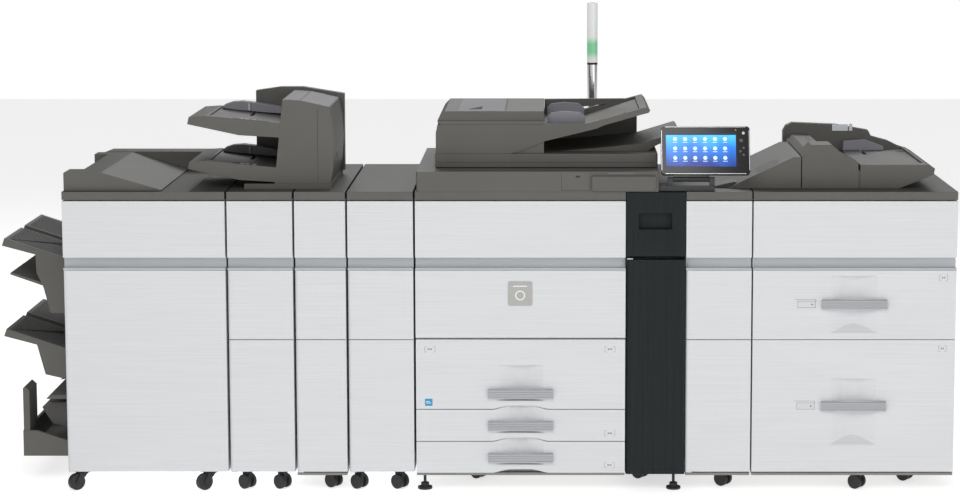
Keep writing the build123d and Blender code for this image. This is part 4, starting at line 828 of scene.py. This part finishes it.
# ---- Scanner front and feeder trim ----
# The scanner's front has a memory-stick door with an oval port and a thin light strip; the feeder's
# top has a dark label well and a seam between its cover panels.
scan_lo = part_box("scanner_base")[0]
stick_at = surface("scanner_base", Vector((scan_lo.x + 0.53, -2, scan_lo.z + 0.03)), INWARD)[0]
scan_front = Vector((scan_lo.x, stick_at.y, scan_lo.z))
tile("stick_door_lines", scan_front, FRONT,
     [box_line(492, 4, 493.2, 66), box_line(589, 4, 590.2, 66), box_line(493.2, 4, 589, 5.2)], 0.15,
     seam_black, "base", bevel=0)
tile("stick_port", scan_front, FRONT, [rounded(540, 49, 556, 55, 3)], 0.3, seam_black, "base", bevel=0)
tile("light_strip", scan_front, FRONT, [rounded(650, 62, 742, 65, 1.4)], 0.5, lavender_skin, "base")
drape("feeder_label", "feeder_cover", rounded(104, 88, 150, 190, 3), 0.5, seam_black)
drape("feeder_top_seam", "feeder_cover", box_line(232, 40, 234, 480), 0.3, seam_black)
drape("feeder_top_left", "feeder_cover", rounded(70, 40, 228, 480, 6), 0.25, lavender_skin)
for number, reach in ((1, 190), (2, 270)):
    mark = [(reach, 8), (reach + 12, 8), (reach + 6, 20)]
    drape(f"tray_mark_{number}", "document_tray", mark, 0.4, seam_black)


# ---- Inserter decks and latch ----
# Each inserter tray has a pale finger scoop and a small key deck on its front edge. The tower has two
# lift-off top panels, a seam in its front and a latch slot in its side.
insert_lo, insert_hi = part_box("sheet_inserter")
work_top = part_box("worktops")[1].z
for level, start_z in (("lower", work_top + 0.135), ("upper", None)):
    drape(f"inserter_{level}_scoop", "sheet_inserter", [(66, 9), (150, 9), (150, 34), (70, 34)], 1.0,
          lavender_skin, start_z=start_z)
    drape(f"inserter_{level}_deck", "sheet_inserter", [(156, 9), (280, 9), (280, 33), (156, 33)], 0.8,
          deep_skin, start_z=start_z)
    for number, key in enumerate((box_line(178, 14, 190, 28), box_line(196, 14, 208, 28), disc(226, 21, 7))):
        drape(f"inserter_{level}_key_{number}", "sheet_inserter", key, 2.4, emblem_grey, start_z=start_z)
    guide = f"inserter_{level}_guide"
    guide_lo, guide_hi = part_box(guide)
    guide_at = surface(guide, Vector((guide_lo.x + 0.094, -2, guide_hi.z - 0.020)), INWARD)[0]
    for mark, outline, lift, finish in (("_mark", box_line(0, -12, 3, 12), 0.4, print_white),
                                        ("_seam", box_line(8, -18, 9.2, 16), 0.3, seam_black)):
        tile(guide + mark, guide_at, FRONT, [outline], lift, finish, body_of(guide), bevel=0)
tower_right = (insert_hi.x - insert_lo.x) * 1000 - 15
for side, left, right, lift in (("right", 98, 4, 1.0), ("left", 156, 104, 0.8)):
    outline = rounded(tower_right - left, 12, tower_right - right, 376, 3)
    drape(f"inserter_top_{side}", "sheet_inserter", outline, lift, lavender_skin)
tower_face = surface("sheet_inserter", Vector((insert_hi.x - 0.058, -2, work_top + 0.1)), INWARD)[0]
seam_foot = Vector((tower_face.x, tower_face.y, work_top + 0.022))
tile("inserter_front_seam", seam_foot, FRONT, [box_line(0, 0, 1.2, 250)], 0.2, seam_black, "base", bevel=0)
latch_at = surface("sheet_inserter", Vector((1, front_y + 0.190, work_top + 0.098)), (-1, 0, 0))[0]
tile("inserter_latch", latch_at, RIGHT, [rounded(0, 0, 14, 42, 6)], 0.8, seam_black, "base")


# ---- Bypass trim ----
# The bypass ramp has a finger well laid as a near-black plate, painted shade of the recess; moulded seams
# cross the ramp and body, and the rear fence has a clear tab; short vent ribs stand on the tray's outer end
# in near-black, painted shade of the vents.
clear_tab = plain_material("clear_tab", (0.66, 0.69, 0.72), 0.12)
# The finger well is a flat near-black plate: painted shade of the recess.
drape("bypass_well", "bypass_feeder", rounded(150, 24, 226, 150, 34, 8), 0.5, deep_skin)
drape("bypass_ramp_seam", "bypass_feeder", box_line(120, 262, 290, 263.5), 0.3, seam_black)
drape("bypass_front_seam", "bypass_feeder", box_line(362, 130, 363.2, 540), 0.3, seam_black)
bypass_lo, bypass_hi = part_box("bypass_feeder")
vents_at = surface("bypass_feeder", Vector((bypass_hi.x - 0.040, bypass_lo.y + 0.480, bypass_hi.z + 0.02)),
                   DOWN)[0]
# The vent ribs are near-black: painted shade of the vents.
rows("bypass_vents", block_rows, vents_at, TOP, (5, 1), (9, 0), (4, 46, 4), deep_skin, "base", 0.5)
fence_at = surface("bypass_feeder", Vector((bypass_lo.x + 0.470, -2, bypass_hi.z - 0.018)), INWARD)[0]
tile("bypass_tab", fence_at, FRONT, [rounded(0, -12, 58, 12, 2), rounded(62, -12, 74, 14, 2)], 2.5, clear_tab,
     "base")


# ---- Mast collar, paper and inner knobs ----
# A black collar joins the lamp to its tube. Each drawer holds a ream of paper between side guides, and
# the inner panels have green moulded knobs, a handle bar and a plain plate.
lamp_middle = (lamp_low + lamp_high) / 2
collar_at = Vector((lamp_middle.x, lamp_middle.y, lamp_low.z - 0.007))
tile("mast_collar", collar_at, TOP, [disc(0, 0, 19.4, 32)], 7.2, seam_black, "base", sink=0)
paper = plain_material("paper_white", (0.84, 0.84, 0.82), 0.85)
for drawer, ream in (("drawer_1", 150), ("drawer_2", 60), ("drawer_3", 60), ("supply_drawer_1", 150),
                     ("supply_drawer_2", 340)):
    low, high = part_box(drawer)
    spot = Vector(((low.x + high.x) / 2, low.y + 0.30, high.z - 0.02))
    bed = surface(drawer, spot, DOWN)[0]
    tile(drawer + "_ream", bed, TOP, [box_line(-210, -148, 210, 149)], ream, paper, body_of(drawer), bevel=0)
    tile(drawer + "_guides", bed, TOP,
         [box_line(-222, -80, -214, 80), box_line(214, -80, 222, 80), box_line(-40, 153, 40, 161)], ream + 14,
         box_skin, body_of(drawer), bevel=1.0)
knob_green = plain_material("knob_green", (0.03, 0.32, 0.12), 0.35)
panel_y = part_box("service_panels")[0].y
for module in ("finisher", "folder", "decurler", "relay", "side"):
    low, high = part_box(module + "_door")
    middle = (low.x + high.x) / 2
    face_at = Vector((middle, panel_y, 0))
    tile(module + "_knobs", face_at, FRONT, [disc(-40, 600, 17), disc(40, 420, 17)], 14, knob_green, "base",
         bevel=2.0)
    tile(module + "_bar", face_at, FRONT, [rounded(-60, 250, 60, 268, 8)], 18, seam_black, "base", bevel=2.0)
    tile(module + "_plate", face_at, FRONT, [rounded(-62, 500, 62, 560, 3)], 0.8, print_white, "base")
